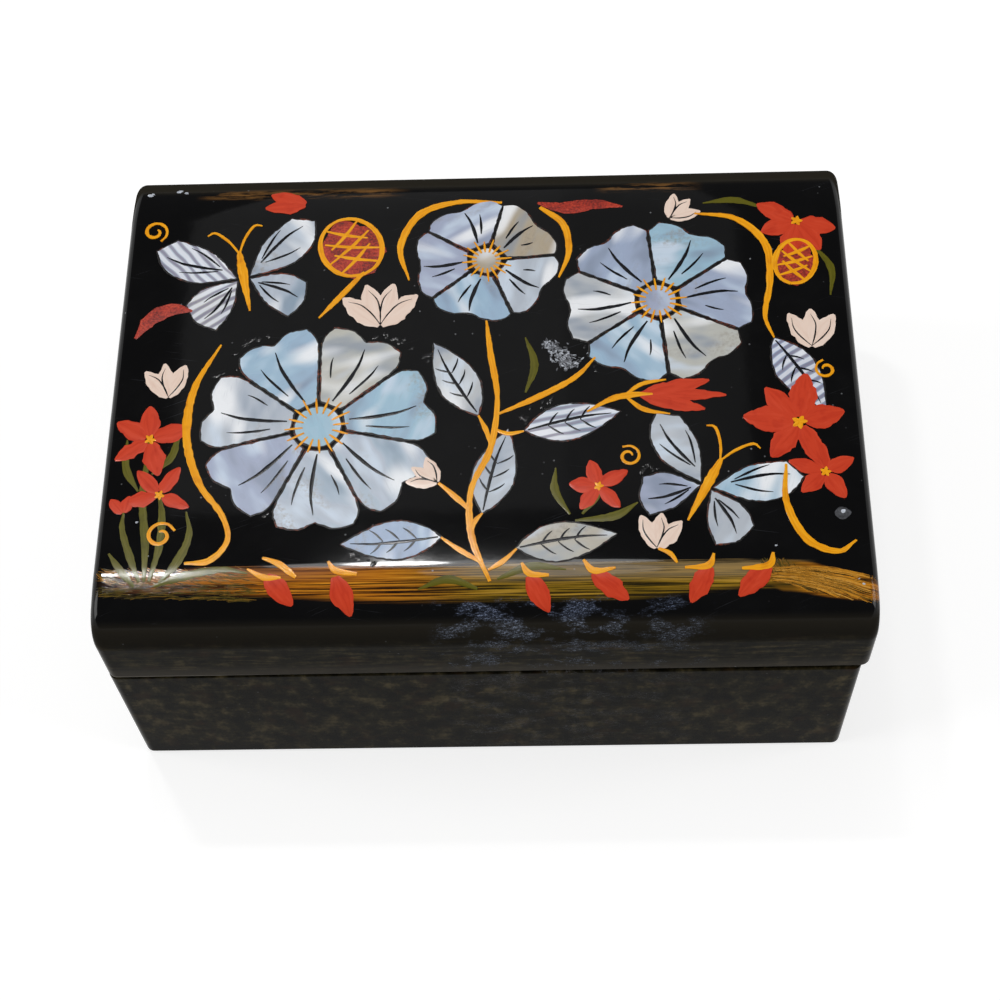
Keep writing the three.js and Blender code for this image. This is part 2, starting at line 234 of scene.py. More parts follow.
class Field:
    """A value or colour that changes over a surface: one socket of the finish that it belongs to."""

    def __init__(self, finish, node, output=0):
        self.finish = finish
        self.node = node
        self.socket = node.outputs[output]

    def __getitem__(self, output):
        return Field(self.finish, self.node, output)

    def __add__(self, other):
        return self.finish.sum("ADD", self, other)

    def __radd__(self, other):
        return self.finish.sum("ADD", other, self)

    def __sub__(self, other):
        return self.finish.sum("SUBTRACT", self, other)

    def __rsub__(self, other):
        return self.finish.sum("SUBTRACT", other, self)

    def __mul__(self, other):
        return self.finish.sum("MULTIPLY", self, other)

    def __rmul__(self, other):
        return self.finish.sum("MULTIPLY", other, self)

    def rises(self, low, high):
        """0 below low and 1 above high, smooth between."""
        return self.finish.node("MapRange", {"interpolation_type": "SMOOTHSTEP"},
                                {"Value": self, "From Min": low, "From Max": high})

    def falls(self, low, high):
        """1 below low and 0 above high, smooth between."""
        return 1 - self.rises(low, high)

    def between(self, start, full, fading, end):
        """1 from full to fading, and 0 outside start and end."""
        return self.rises(start, full) * self.falls(fading, end)


class Finish:
    """A material in the making."""

    def __init__(self, name):
        self.material = bpy.data.materials.new(name)
        self.material.use_nodes = True
        self.tree = self.material.node_tree
        self.tree.nodes.clear()

    def node(self, kind, settings=None, sockets=None, output=0):
        """Any node by its type: its settings are set first, then the values or links of its sockets."""
        made = self.tree.nodes.new("ShaderNode" + kind)
        for name, value in (settings or {}).items():
            if name == "stops":
                set_stops(made.color_ramp, value)
            else:
                setattr(made, name, value)
        for name, value in (sockets or {}).items():
            if isinstance(value, Field):
                self.tree.links.new(value.socket, made.inputs[name])
            elif isinstance(value, tuple):
                made.inputs[name].default_value = colour(*value)
            else:
                made.inputs[name].default_value = value
        return Field(self, made, output)

    def sum(self, operation, first, second=0):
        return self.node("Math", {"operation": operation}, {0: first, 1: second})

    def blend(self, first, second, share):
        """Two colours mixed: all the first at share 0, all the second at 1."""
        return self.node("Mix", {"data_type": "RGBA"}, {0: share, 6: first, 7: second}, output=2)

    def over(self, ground, *layers):
        """The ground with layers laid over it in turn, each a colour and how far it covers."""
        for tone, share in layers:
            ground = self.blend(ground, tone, share)
        return ground

    def carried(self, name):
        """The four numbers that each point of the piece carries under a name."""
        numbers = self.node("Attribute", {"attribute_name": name})
        parts = self.node("SeparateColor", {}, {0: numbers["Color"]})
        return parts["Red"], parts["Green"], parts["Blue"], numbers["Alpha"]

    def point(self, x, y, z):
        return self.node("CombineXYZ", {}, {"X": x, "Y": y, "Z": z})

    def cloud(self, x, y, z, detail=2, roughness=0.5):
        """Soft noise from 0 to 1, one patch for each unit of its three coordinates."""
        return self.node("TexNoise", {}, {
            "Vector": self.point(x, y, z), "Scale": 1.0, "Detail": detail, "Roughness": roughness})

    def tones(self, share, *stops):
        """A colour that passes through several tones as the share grows from 0 to 1."""
        return self.node("ValToRGB", {"stops": stops}, {"Fac": share})

    def bump(self, height, strength, depth):
        """Relief for the normal: the depth, in millimetres, is that of a full step in height."""
        return self.node("Bump", {}, {"Strength": strength, "Distance": depth * mm, "Height": height})

    def shader(self, tint, roughness, relief=None, shine=0.5, **others):
        """A Principled shader. Shine is how strongly it mirrors, and relief is a bump."""
        sockets = {"Base Color": tint, "Roughness": roughness, "Specular IOR Level": shine}
        if relief:
            sockets["Normal"] = relief
        sockets.update((name.replace("_", " ").title(), value) for name, value in others.items())
        return self.node("BsdfPrincipled", {}, sockets)

    def shade(self, *looks, **others):
        return self.end(self.shader(*looks, **others))

    def end(self, shader):
        self.tree.links.new(shader.socket, self.tree.nodes.new("ShaderNodeOutputMaterial").inputs["Surface"])
        return self.material


def begin(name):
    """A new finish, and where a point of its piece lies at rest, as x, y and z in millimetres."""
    finish = Finish(name)
    metres = finish.node("TexCoord")["Object"]
    millimetres = finish.node("VectorMath", {"operation": "SCALE"}, {0: metres, "Scale": 1 / mm})
    parts = finish.node("SeparateXYZ", {}, {0: millimetres})
    return finish, parts["X"], parts["Y"], parts["Z"]


def set_stops(ramp, stops):
    """Gives a colour ramp its stops, each a place from 0 to 1 and a colour."""
    while len(ramp.elements) > 1:
        ramp.elements.remove(ramp.elements[0])
    ramp.elements[0].position = stops[0][0]
    ramp.elements[0].color = colour(*stops[0][1])
    for position, tone in stops[1:]:
        ramp.elements.new(position).color = colour(*tone)


def colour(*looks):
    """A colour for Blender from red, green and blue as they look, each from 0 to 255."""
    return (*(c / 255 / 12.92 if c < 10.3 else ((c / 255 + 0.055) / 1.055) ** 2.4 for c in looks), 1)


half_depth = base_high.y / mm
scuffs_left = -12
scuffs_right = 48


def inside_faces(place, half):
    """0 on the two outer faces that lie half a length from the middle, and 1 between them."""
    return place.between(0.6 - half, 1.0 - half, half - 1.0, half - 0.6)


def painted_reflection_black(finish, x, y, z, streaked, half_width):
    """The brown-black of the faces with a painted reflection in it, mottled from blotches to level streaks.
    The painted reflection is strongest on the front, and the rims within the outer faces are plain."""
    blotch = finish.cloud(x * 0.26, y * 0.26, z * 0.19, detail=4, roughness=0.62)
    streak = finish.cloud(x * 0.12 + 4, y * 0.12, z * 0.8, detail=4, roughness=0.62)
    ruddy = finish.cloud(x * 0.2 + 9, y * 0.2, z * 0.2, detail=3)
    mottle = blotch * (1 - streaked) + streak * streaked
    tint = finish.tones(
        mottle, (0.32, (5, 4, 2)), (0.45, (26, 23, 13)), (0.54, (50, 45, 29)), (0.72, (116, 103, 72)))
    quiet = finish.blend((20, 19, 16), (32, 29, 24), mottle.rises(0.4, 0.62))
    # The ruddy blotches, and the quieter tone away from the front, are part of the painted reflection.
    return finish.over(
        tint, ((60, 40, 22), ruddy.rises(0.54, 0.72) * 0.5),
        (quiet, y.rises(1.0 - half_depth, 18.5 - half_depth)),
        ((14, 13, 12), inside_faces(x, half_width) * inside_faces(y, half_depth)))


def dust(finish, x, y, z):
    """Fine pale specks here and there."""
    specks = finish.node("TexVoronoi", {"feature": "F1"}, {
        "Vector": finish.point(x, y, z), "Scale": 0.35, "Randomness": 1.0})
    return specks["Distance"].falls(0.05, 0.09) * finish.cloud(x * 0.06, y * 0.06, z * 0.06).rises(0.5, 0.7)


def ripple(finish, x, y, z, strength):
    """The faint unevenness of brushed and rubbed lacquer, for the normal."""
    height = finish.cloud(x * 0.16, y * 0.16, z * 0.16, detail=3)
    return finish.bump(height, strength, 0.1)


def scuffs(finish, x, run):
    """How far the gloss is rubbed off in one stretch along the front: fine level scratches in patches.
    Run is the distance down over the surface."""
    scratch = finish.cloud(x * 1.0, run * 3.6, 4, detail=4, roughness=0.8)
    fleck = finish.cloud(x * 3.0, run * 4.4, 9, detail=3, roughness=0.7)
    patch = finish.cloud(x * 0.12 + 2, run * 0.22, 5, detail=4, roughness=0.62)
    rubbed = scratch.rises(0.50, 0.60) * fleck.rises(0.42, 0.58) * patch.rises(0.47, 0.60)
    veil = patch.rises(0.48, 0.60) * fleck.rises(0.30, 0.60) * 0.1
    fading = 1 - 0.4 * x.rises(16, 30)
    return (rubbed + veil) * fading * x.between(scuffs_left, scuffs_left + 8, scuffs_right - 8, scuffs_right)


def outer_front(y):
    """1 on the outer front face, and 0 inside it."""
    return y.falls(0.6 - half_depth, 1.0 - half_depth)


def base_lacquer():
    finish, x, y, z = begin("base_black_lacquer")
    scuffed = scuffs(finish, x, z) * outer_front(y)
    # The faces carry the painted reflection, and being darker towards the foot is a painted shade near the
    # floor.
    deep = finish.over(
        painted_reflection_black(finish, x, y, z, 0.2, base_high.x / mm), ((124, 126, 132), scuffed * 0.7),
        ((14, 12, 8), z.falls(0, 10) * 0.4), ((120, 122, 126), dust(finish, x, y, z) * 0.7))
    return finish.shade(deep, 0.12 + 0.3 * scuffed, ripple(finish, x, y, z, 0.12), shine=face_gloss)


def inner_lacquer():
    finish, x, y, z = begin("inner_red_lacquer")
    streak = finish.cloud(x * 0.03, y * 0.8, z * 0.8, detail=4, roughness=0.6)
    patch = finish.cloud(x * 0.05, y * 0.05, z * 0.05, detail=3)
    red = finish.blend((84, 18, 14), (112, 28, 20), streak.rises(0.3, 0.7))
    red = finish.blend(red, (62, 14, 12), patch.rises(0.5, 0.75) * 0.6)
    return finish.shade(red, 0.38 + 0.1 * streak, finish.bump(streak, 0.2, 0.1), shine=0.3)


inner_red = inner_lacquer()
below_seam = Vector((0, 0, overcut + 0.1 * mm))
dress(base_case, base_hollow_low, base_hollow_high - below_seam, base_lacquer(), inner_red)
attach(base_case, "base")
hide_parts(*base_boards)

# Lid case.
# A panel on four low rails, planed together like the base. Its long edges are rounded over, and it has
# warped, so the seam opens towards the front right. The paint stands proud of its top by its own depth.
lid_boards = ("lid_panel", "lid_front_rail", "lid_back_rail", "lid_left_rail", "lid_right_rail")
paint_depth = 0.16 * mm
crown_radius = 43 * mm
crown_turn = math.radians(12)
edge_radius = 8 * mm
end_radius = 2.2 * mm
end_steps = 12
lid_arris_steps = 5
seam_lift = 1.2 * mm
lid_arris = 0.5 * mm
gentle_steps = 10
tight_steps = 26
lid_low, lid_high = reach(lid_boards)
lid_top = lid_high.z - paint_depth
crown_centre = (crown_radius - edge_radius) * math.sin(crown_turn)
edge_reach = crown_centre + edge_radius
edge_fall = crown_radius - (crown_radius - edge_radius) * math.cos(crown_turn)
flat_half = lid_high.y - edge_reach


def crown(turn, lift):
    """A point lifted off the long edge of the lid where it has turned so far from level: how far out from the
    flat of the top it lies, and how far down."""
    if turn < crown_turn:
        out, down = crown_radius * math.sin(turn), crown_radius - crown_radius * math.cos(turn)
    else:
        out, down = crown_centre + edge_radius * math.sin(turn), edge_fall - edge_radius * math.cos(turn)
    return out + lift * math.sin(turn), down - lift * math.cos(turn)


edge_turns = [crown_turn * i / gentle_steps for i in range(gentle_steps)]
edge_turns += [crown_turn + (math.pi / 2 - crown_turn) * i / tight_steps for i in range(tight_steps + 1)]


def lid_section(x, to_end, drawn_in):
    """The outline of the lid across its length."""
    front = lid_low.y + drawn_in
    back = lid_high.y - drawn_in
    along = (x - lid_low.x) / (lid_high.x - lid_low.x)
    back_foot = lid_low.z + eased(to_end, lid_arris)
    front_foot = back_foot + seam_lift * along
    groove_y = min(pin_y + (back_foot - pin_z) / groove_slope, back - 2 * sliver)
    groove_z = max(pin_z + (back - pin_y) * groove_slope, back_foot + sliver)
    edge = [crown(turn, -drawn_in) for turn in edge_turns]
    outline = arc((front + lid_arris, front_foot + lid_arris), lid_arris, 270, 180, lid_arris_steps)
    outline += [(-flat_half - out, lid_top - down) for out, down in reversed(edge)]
    outline += [(flat_half + out, lid_top - down) for out, down in edge]
    outline += [(back, groove_z), (groove_y, back_foot)]
    return [(x, y, z) for y, z in outline]


lid_hollow_low = Vector((
    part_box("lid_left_rail")[1].x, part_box("lid_front_rail")[1].y, lid_low.z - overcut))
lid_hollow_high = Vector((
    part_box("lid_right_rail")[0].x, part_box("lid_back_rail")[0].y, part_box("lid_panel")[0].z))
lid_case = loft("lid_case", [
    lid_section(*place) for place in end_sections(lid_low.x, lid_high.x, end_radius, end_steps)])
lid_rooms = hinge_rooms(pin_z - overcut, lid_low.z + mortise_depth)
cut(lid_case, [block(lid_hollow_low, lid_hollow_high)] + lid_rooms)


def front_run(finish, y, z):
    """How far a point lies down the front edge from the flat of the top, over the surface."""
    out = 0 - y - flat_half / mm
    turn = finish.sum("ARCTAN2", out - crown_centre / mm, z - (lid_top - edge_fall) / mm)
    gentle = finish.sum("MINIMUM", out, crown_radius / mm * math.sin(crown_turn))
    return gentle + finish.sum("MAXIMUM", turn - crown_turn, 0) * (edge_radius / mm)


def brushed_band(finish, ground, x, down):
    """The band of gold and brown brushed along the front edge, broader and loaded at its right end."""
    hair = finish.cloud(x * 0.045, down * 2.6, 0, detail=5, roughness=0.65)
    lock = finish.cloud(x * 0.03 + 3, down * 0.9, 5)
    line = finish.cloud(x * 0.02 + 8, down * 3.2, 2)
    streaks = hair * 0.6 + lock * 0.45
    amber = finish.tones(
        streaks, (0.40, (26, 15, 5)), (0.47, (116, 66, 16)), (0.54, (186, 112, 22)), (0.66, (222, 150, 40)))
    olive_gold = finish.tones(
        streaks, (0.40, (14, 12, 5)), (0.47, (72, 58, 12)), (0.54, (140, 108, 22)), (0.68, (206, 160, 62)))
    gold = finish.over(
        amber, (olive_gold, x.rises(-24, 4)),
        ((158, 100, 62), down.falls(2.4, 4.6) * x.falls(-40, -18) * 0.7),
        ((142, 124, 96), down.falls(3.4, 5.6) * x.rises(-14, 4) * 0.55),
        ((12, 10, 6), line.rises(0.53, 0.58) * down.rises(3.4, 5.0) * 0.85))
    upper = 1.0 + 0.9 * x.falls(-74, -52)
    lower = 6.2 + 2.6 * x.rises(-66, -12) - 1.8 * x.rises(28, 52)
    frayed = down + (hair - 0.5) * 2.4 + (lock - 0.5) * 1.6
    band = frayed.between(upper - 0.4, upper + 0.7, lower - 0.9, lower + 0.6) * x.between(-80, -56, 60, 68)
    ground = finish.blend(ground, gold, band * hair.rises(0.28, 0.42) * 0.95)

    middle_line = 4.2 + 3.4 * x.rises(60, 80)
    half = 3.3 - 1.2 * x.rises(66, 80) - 1.8 * x.falls(56, 61)
    upper, lower = middle_line - half, middle_line + half
    loaded = down.between(upper - 0.4, upper + 0.5, lower - 0.5, lower + 0.4) * x.rises(56, 60)
    under = finish.tones(streaks, (0.40, (44, 26, 6)), (0.50, (146, 88, 14)), (0.62, (212, 136, 28)))
    under = finish.blend(under, (62, 56, 14), x.falls(62, 68) * 0.7)
    return finish.blend(ground, under, loaded * hair.rises(0.3, 0.42) * 0.95)


def lid_lacquer():
    finish, x, y, z = begin("lid_black_lacquer")
    flat_edge = flat_half / mm
    top, foot = lid_top / mm, lid_low.z / mm
    down = front_run(finish, y, z)
    mottle = finish.cloud(x * 0.09, y * 0.09, z * 0.16, detail=5, roughness=0.62)

    # The polished top, with fine scratches from wiping
    deep = finish.blend((5, 5, 6), (11, 11, 12), mottle.rises(0.4, 0.8))
    one_way = finish.cloud((x + y * 0.7) * 0.05, (y - x * 0.4) * 5, 7, detail=1).rises(0.72, 0.78)
    other_way = finish.cloud((x - y * 0.3) * 0.05, (y + x * 0.15) * 5, 3, detail=1).rises(0.74, 0.80)
    deep = finish.blend(deep, (66, 68, 74), (one_way + other_way) * mottle.rises(0.4, 0.6) * 0.5)
    deep = brushed_band(finish, deep, x, down)

    # Gold-brown smears along the back edge
    smear = finish.cloud(x * 0.10, y * 0.9, z * 0.6, detail=5, roughness=0.7)
    at_back = y.between(flat_edge + 5.5, flat_edge + 7.5, flat_edge + 11, flat_edge + 13)
    stretches = x.between(-66, -60, -26, -16) + x.between(24, 30, 42, 50)
    deep = finish.blend(deep, (132, 92, 46), smear.rises(0.44, 0.6) * at_back * stretches * 0.75)

    # The faces: mottled, and paler at the top and along the seam, all a painted reflection;
    # and worn through at the left end of its foot
    scuffed = scuffs(finish, x, down) * down.rises(7.6, 9.5) * z.rises(44, 48)
    worn = z.falls(foot + 0.5, foot + 1.1) * x.falls(-56, -40) * outer_front(y)
    deep = finish.blend(deep, (140, 154, 186), scuffed * 0.85)
    face = finish.over(
        painted_reflection_black(finish, x, y, z, 0.6, lid_high.x / mm), ((41, 38, 32), z.rises(54, 60)),
        ((84, 78, 68), z.falls(43.5, 49.5) * outer_front(y) * 0.8), ((176, 190, 216), scuffed * 0.85),
        ((140, 134, 122), worn * mottle.rises(0.3, 0.5)))

    # The gloss ends higher up at the back, where the rounded edge is dull
    back = y.rises(40, 44)
    below = z.falls(top - 3.6 + 2.5 * back, top - 1.8 + 1.1 * back)
    dull = back * z.rises(top - 9, top - 7)
    grime = dust(finish, x, y, z) * 0.7
    polished = finish.shader(
        finish.blend(deep, (150, 152, 156), grime), 0.035 + 0.02 * mottle, ripple(finish, x, y, z, 0.06),
        shine=0.2)
    rubbed = finish.shader(
        finish.blend(face, (150, 152, 156), grime), 0.12 + 0.3 * scuffed + 0.8 * dull,
        ripple(finish, x, y, z, 0.12), shine=face_gloss)
    return finish.end(finish.node("MixShader", {}, {0: below, 1: polished, 2: rubbed}))


above_seam = Vector((0, 0, overcut + seam_lift))
dress(lid_case, lid_hollow_low + above_seam, lid_hollow_high, lid_lacquer(), inner_red)
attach(lid_case, "lid")
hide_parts(*lid_boards)

# Hinges.
# Two small butt hinges of rolled sheet brass, each on a steel pin, let into the back of the seam and held by
# brass screws. The brass has dulled unevenly.


def dull_brass():
    finish, x, y, z = begin("dull_brass")
    tarnish = finish.cloud(x * 0.5, y * 0.5, z * 0.5, detail=5, roughness=0.6)
    drawn = finish.cloud(x * 0.4, y * 9, z * 9)
    tint = finish.tones(tarnish, (0.30, (118, 82, 40)), (0.50, (176, 134, 70)), (0.72, (204, 166, 98)))
    return finish.shade(tint, 0.28 + 0.25 * tarnish, finish.bump(drawn, 0.3, 0.05), metallic=1.0)


def drawn_steel():
    finish, x, y, z = begin("drawn_steel")
    drawn = finish.cloud(x * 0.6, y * 10, z * 10, detail=3)
    tint = finish.blend((112, 110, 108), (158, 158, 156), drawn.rises(0.3, 0.7))
    return finish.shade(tint, 0.3 + 0.2 * drawn, metallic=1.0)


brass = dull_brass()
steel = drawn_steel()
for name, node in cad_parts.items():
    if "_hinge_" in name:
        node.data.materials.clear()
        node.data.materials.append(steel if name.endswith("_pin") else brass)

# Mother-of-pearl plates.
# Pieces sawn by hand from shell, so no two have the same grain or colour, let into the lid, lacquered over
# and rubbed back. Their edges are a little ragged from the saw.
plate_rise = 0.05 * mm
plate_bevel = 0.12 * mm
plate_root = 0.5 * mm
saw_step = 0.7
saw_wander = 0.2
blunt_corner = math.radians(50)
ribbed_count = 4
hand = random.Random(11)


def top_outline(node):
    """The outline of a plate's top face, in millimetres, in order round it."""
    mesh = node.data
    mesh.calc_loop_triangles()
    height = max(vertex.co.z for vertex in mesh.vertices)
    keys = [(round(v.co.x / mm, 3), round(v.co.y / mm, 3)) for v in mesh.vertices]
    edges = set()
    for triangle in mesh.loop_triangles:
        if all(abs(mesh.vertices[i].co.z - height) < sliver for i in triangle.vertices):
            corners = [keys[i] for i in triangle.vertices]
            edges.update(zip(corners, corners[1:] + corners[:1]))
    following = {start: end for start, end in edges if (end, start) not in edges}
    outline = [min(following)]
    while following[outline[-1]] != outline[0]:
        outline.append(following[outline[-1]])
    return np.array(outline)


def around(outline):
    """The direction of the line before and after each of its corners."""
    onward = np.roll(outline, -1, axis=0) - outline
    onward /= np.linalg.norm(onward, axis=1)[:, None]
    return np.roll(onward, 1, axis=0), onward


def outward(outline):
    """The direction out of the outline at each of its corners."""
    before, after = around(outline)
    along = before + after
    along /= np.linalg.norm(along, axis=1)[:, None]
    return np.stack([along[:, 1], -along[:, 0]], axis=1)


def eased_corners(outline):
    """The outline with its blunt corners cut to a curve, and its sharp ones kept."""
    before, after = around(outline)
    blunt = (before * after).sum(axis=1) > math.cos(blunt_corner)
    line = []
    for i, corner in enumerate(outline):
        if blunt[i]:
            line.append(corner * 0.75 + outline[i - 1] * 0.25)
            line.append(corner * 0.75 + outline[(i + 1) % len(outline)] * 0.25)
        else:
            line.append(corner)
    return np.array(line)


def sawn(outline, wander):
    """The outline as the saw left it: in short steps, and a little unsteady."""
    curved = eased_corners(eased_corners(outline))
    line = []
    for here, there in zip(curved, np.roll(curved, -1, axis=0)):
        steps = max(1, round(np.linalg.norm(there - here) / saw_step))
        line += [here + (there - here) * i / steps for i in range(steps)]
    line = np.array(line)
    unsteady = [noise.noise(Vector((p[0] * 1.1, p[1] * 1.1, 3.7))) for p in line]
    return line + outward(line) * wander * np.array(unsteady)[:, None]


def mother_of_pearl():
    finish, x, y, z = begin("mother_of_pearl")
    turn, ribbing, tint, shift = finish.carried("grain")
    turn, shift = turn * (2 * math.pi), shift * 40
    cosine, sine = finish.sum("COSINE", turn), finish.sum("SINE", turn)
    along = x * cosine + y * sine
    across = y * cosine - x * sine
    soft = finish.cloud(along * 0.08, across * 0.17, shift, detail=2, roughness=0.45)
    painted_sheen = finish.cloud(along * 0.05, across * 0.12, shift + 9, detail=1)
    fibre = finish.cloud(along * 0.25, across * 2.2, shift, detail=3)
    speckle = finish.cloud(x * 1.1, y * 1.1, shift, detail=4, roughness=0.65)
    wavy = across + (finish.cloud(along * 0.06, across * 0.05, shift + 3) - 0.5) * 4
    ribs = finish.sum("SINE", wavy * 3.3) * 0.5 + 0.5
    body = finish.tones(
        tint + (soft - 0.5) * 0.35,
        (0.0, (166, 174, 198)), (0.24, (158, 178, 206)), (0.40, (158, 194, 214)), (0.55, (180, 190, 204)),
        (0.72, (188, 192, 196)), (0.86, (190, 190, 182)), (1.0, (176, 162, 140)))
    # Darker and paler clouds in each plate are partly the shell's own tone and partly a painted sheen and
    # shade; the near-white patches are a painted sheen, and where it is faint the shell's brown speckle
    # shows.
    pearl = finish.over(
        body, ((124, 138, 158), soft.falls(0.30, 0.48) * 0.6),
        ((214, 228, 244), soft.rises(0.52, 0.72) * 0.75),
        ((250, 252, 255), painted_sheen.rises(0.55, 0.70) * 0.9),
        ((150, 140, 128), painted_sheen.falls(0.28, 0.40) * speckle.rises(0.4, 0.7) * 0.6),
        ((136, 130, 152), ribs.rises(0.62, 0.92) * ribbing * 0.8),
        ((240, 242, 250), ribs.falls(0.30, 0.60) * ribbing * 0.7),
        ((140, 150, 166), fibre.rises(0.56, 0.75) * 0.16))
    return finish.shade(pearl, 0.2 + 0.15 * soft, finish.bump(soft + speckle * 0.12, 0.25, 0.2), shine=0.3)


pearl_finish = mother_of_pearl()
plate_names = sorted(name for name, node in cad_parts.items()
                     if "petal" in name or "wing" in name or name.endswith("_eye") or name.startswith("leaf"))
outlines = {name: top_outline(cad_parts[name]) for name in plate_names}
sawn_outlines = {name: sawn(outline, saw_wander) for name, outline in outlines.items()}
plates_but_eyes = [name for name in plate_names if "eye" not in name]
ribbed_plates = hand.sample(plates_but_eyes, ribbed_count)
for name in plate_names:
    outline = sawn_outlines[name]
    inner = outline - outward(outline) * (plate_bevel / mm)
    plate = loft(name + "_shell", [
        [(x * mm, y * mm, lid_top + height) for x, y in line]
        for line, height in ((outline, -plate_root), (outline, 0.2 * plate_rise), (inner, plate_rise))])
    grain = plate.data.attributes.new("grain", "FLOAT_COLOR", "POINT")
    kind = (hand.random(), 1.0 if name in ribbed_plates else 0.0, hand.random() ** 1.2, hand.random())
    grain.data.foreach_set("color", kind * len(plate.data.vertices))
    plate.data.materials.append(pearl_finish)
    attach(plate, "lid")
    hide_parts(name)

# Glue lines.
# The black filler round each plate, rubbed down with it. Here and there the rust-brown glue shows through.
glue_rise = 0.052
glue_width = 0.36
stroke_step = 0.7
strand_width = 1.2
stroke_root = -0.05
stroke_crease = math.radians(50)


def on_lid(x, y, height):
    """A point over the lid, all in millimetres: y runs over its rounded edges, and height stands off it."""
    to_end = min(x * mm - lid_low.x, lid_high.x - x * mm)
    lift = height * mm - eased(max(to_end, 0), end_radius)
    beyond = abs(y) * mm - flat_half
    if beyond <= 0:
        return x * mm, y * mm, lid_top + lift
    gentle = crown_radius * crown_turn
    tight = crown_turn + (beyond - gentle) / edge_radius
    out, down = crown(beyond / crown_radius if beyond < gentle else min(tight, math.pi / 2), lift)
    return x * mm, math.copysign(flat_half + out, y), lid_top - down


def track(start, turn):
    """A path over the lid from a start, at a turn in radians: it gives the point of a stroke that lies so far
    forward and so far to the left, with its width."""
    along = np.array((math.cos(turn), math.sin(turn)))
    aside = np.array((-along[1], along[0]))
    return lambda forward, left, width: (*(start + along * forward + aside * left), width)


class Brushwork:
    """Strokes of one paint over the lid, gathered into one thin closed piece. Each point carries how far it
    lies along its stroke and across it, and the tone of the stroke."""

    def __init__(self, name, rise, thickness):
        self.name = name
        self.rise = rise
        self.thickness = thickness
        self.points = []
        self.faces = []
        self.marks = []

    def lay(self, line, closed=False, tone=None):
        """One stroke along a line of (x, y, width)."""
        line = np.array(line, float)
        tone = hand.random() if tone is None else tone
        spans = max(2, math.ceil(line[:, 2].max() / strand_width))
        onward = np.roll(line, -1, axis=0) - np.roll(line, 1, axis=0)
        if not closed:
            onward[0] = line[1] - line[0]
            onward[-1] = line[-1] - line[-2]
        onward = onward[:, :2] / np.maximum(np.linalg.norm(onward[:, :2], axis=1), 1e-6)[:, None]
        first = len(self.points)
        travelled = 0
        for i, (x, y, width) in enumerate(line):
            if i:
                travelled += math.dist(line[i - 1, :2], (x, y))
            sideways = (-onward[i, 1], onward[i, 0])
            for j in range(-1, spans + 2):
                share = min(max(j / spans, 0), 1)
                offset = (share - 0.5) * width
                root = j < 0 or j > spans
                swell = 1 - (2 * share - 1) ** 4
                height = stroke_root if root else self.rise + self.thickness * swell
                self.points.append(on_lid(x + sideways[0] * offset, y + sideways[1] * offset, height))
                self.marks += [travelled, share, tone, 1.0]
        ring = spans + 3
        last = len(self.points) - ring
        self.faces += [tuple(first + i for i in face) for face in skin(len(line), ring)]
        if closed:
            self.faces += [(last + j, last + (j + 1) % ring, first + (j + 1) % ring, first + j)
                           for j in range(ring)]
        else:
            self.faces += [tuple(range(first, first + ring)), tuple(range(last, last + ring))]

    def stroke(self, *turning_points, tone=None, tremble=0.05):
        """A hand-drawn stroke through its turning points, each (x, y, width)."""
        p = np.array(turning_points, float)
        padded = np.vstack([2 * p[0] - p[1], p, 2 * p[-1] - p[-2]])
        line = []
        for i in range(len(p) - 1):
            a, b, c, d = padded[i:i + 4]
            steps = max(3, round(math.dist(b[:2], c[:2]) / stroke_step))
            for t in np.arange(steps) / steps:
                line.append(0.5 * (2 * b + (c - a) * t + (2 * a - 5 * b + 4 * c - d) * t ** 2
                                   + (3 * b - a - 3 * c + d) * t ** 3))
        line.append(p[-1])
        for step in line:
            drift = Vector((step[0] * 0.5, step[1] * 0.5, 1.3))
            step[0] += tremble * noise.noise(drift)
            step[1] += tremble * noise.noise(drift + Vector((9, 0, 0)))
            step[2] = max(step[2] * (1 + 0.25 * noise.noise(drift * 1.7)), 0.08)
        self.lay(line, tone=tone)

    def finish(self, material):
        """Puts all the strokes on the lid as one piece."""
        mesh = closed_mesh(self.name, self.points, self.faces)
        mesh.attributes.new("stroke", "FLOAT_COLOR", "POINT").data.foreach_set("color", self.marks)
        mesh.shade_smooth()
        mesh.set_sharp_from_angle(angle=stroke_crease)
        mesh.materials.append(material)
        piece = placed(self.name, mesh)
        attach(piece, "lid")


def glue():
    finish, x, y, z = begin("black_filler_and_glue")
    patch = finish.cloud(x * 0.16, y * 0.16, 2, detail=3, roughness=0.6)
    crumbs = finish.cloud(x * 1.6, y * 1.6, 4, detail=3, roughness=0.6)
    tint = finish.over(
        (14, 11, 11), ((122, 52, 26), patch.rises(0.5, 0.66) * crumbs.rises(0.4, 0.6)),
        ((196, 138, 74), patch.falls(0.3, 0.4) * crumbs.rises(0.56, 0.7) * 0.7))
    return finish.shade(tint, 0.25 + 0.2 * crumbs, finish.bump(crumbs, 0.5, 0.05), shine=0.25)


glue_lines = Brushwork("glue_lines", glue_rise, thickness=0.018)
for outline in sawn_outlines.values():
    widths = [glue_width * (1 + 0.7 * noise.noise(Vector((p[0] * 0.6, p[1] * 0.6, 8.1)))) for p in outline]
    glue_lines.lay(np.column_stack([outline, widths]), closed=True)
glue_lines.finish(glue())

# Black brush lines.
# Thin lines drawn over the shell with a pointed brush: veins of petals and wings, and ribs of leaves.
black_rise = 0.098


def toward(start, end, share, sideways=0.0):
    """A point part of the way from start to end, and a little to the left of the line between them."""
    start = np.array(start)
    run = np.array(end) - start
    return start + run * share + np.array((-run[1], run[0])) * sideways


def plates(start):
    """The plates whose names begin so."""
    return [name for name in plate_names if name.startswith(start)]


def middle(name):
    return outlines[name].mean(axis=0)


def farthest(name, point):
    """The corner of a plate that is farthest from a point."""
    return max(outlines[name], key=lambda corner: math.dist(corner, point))


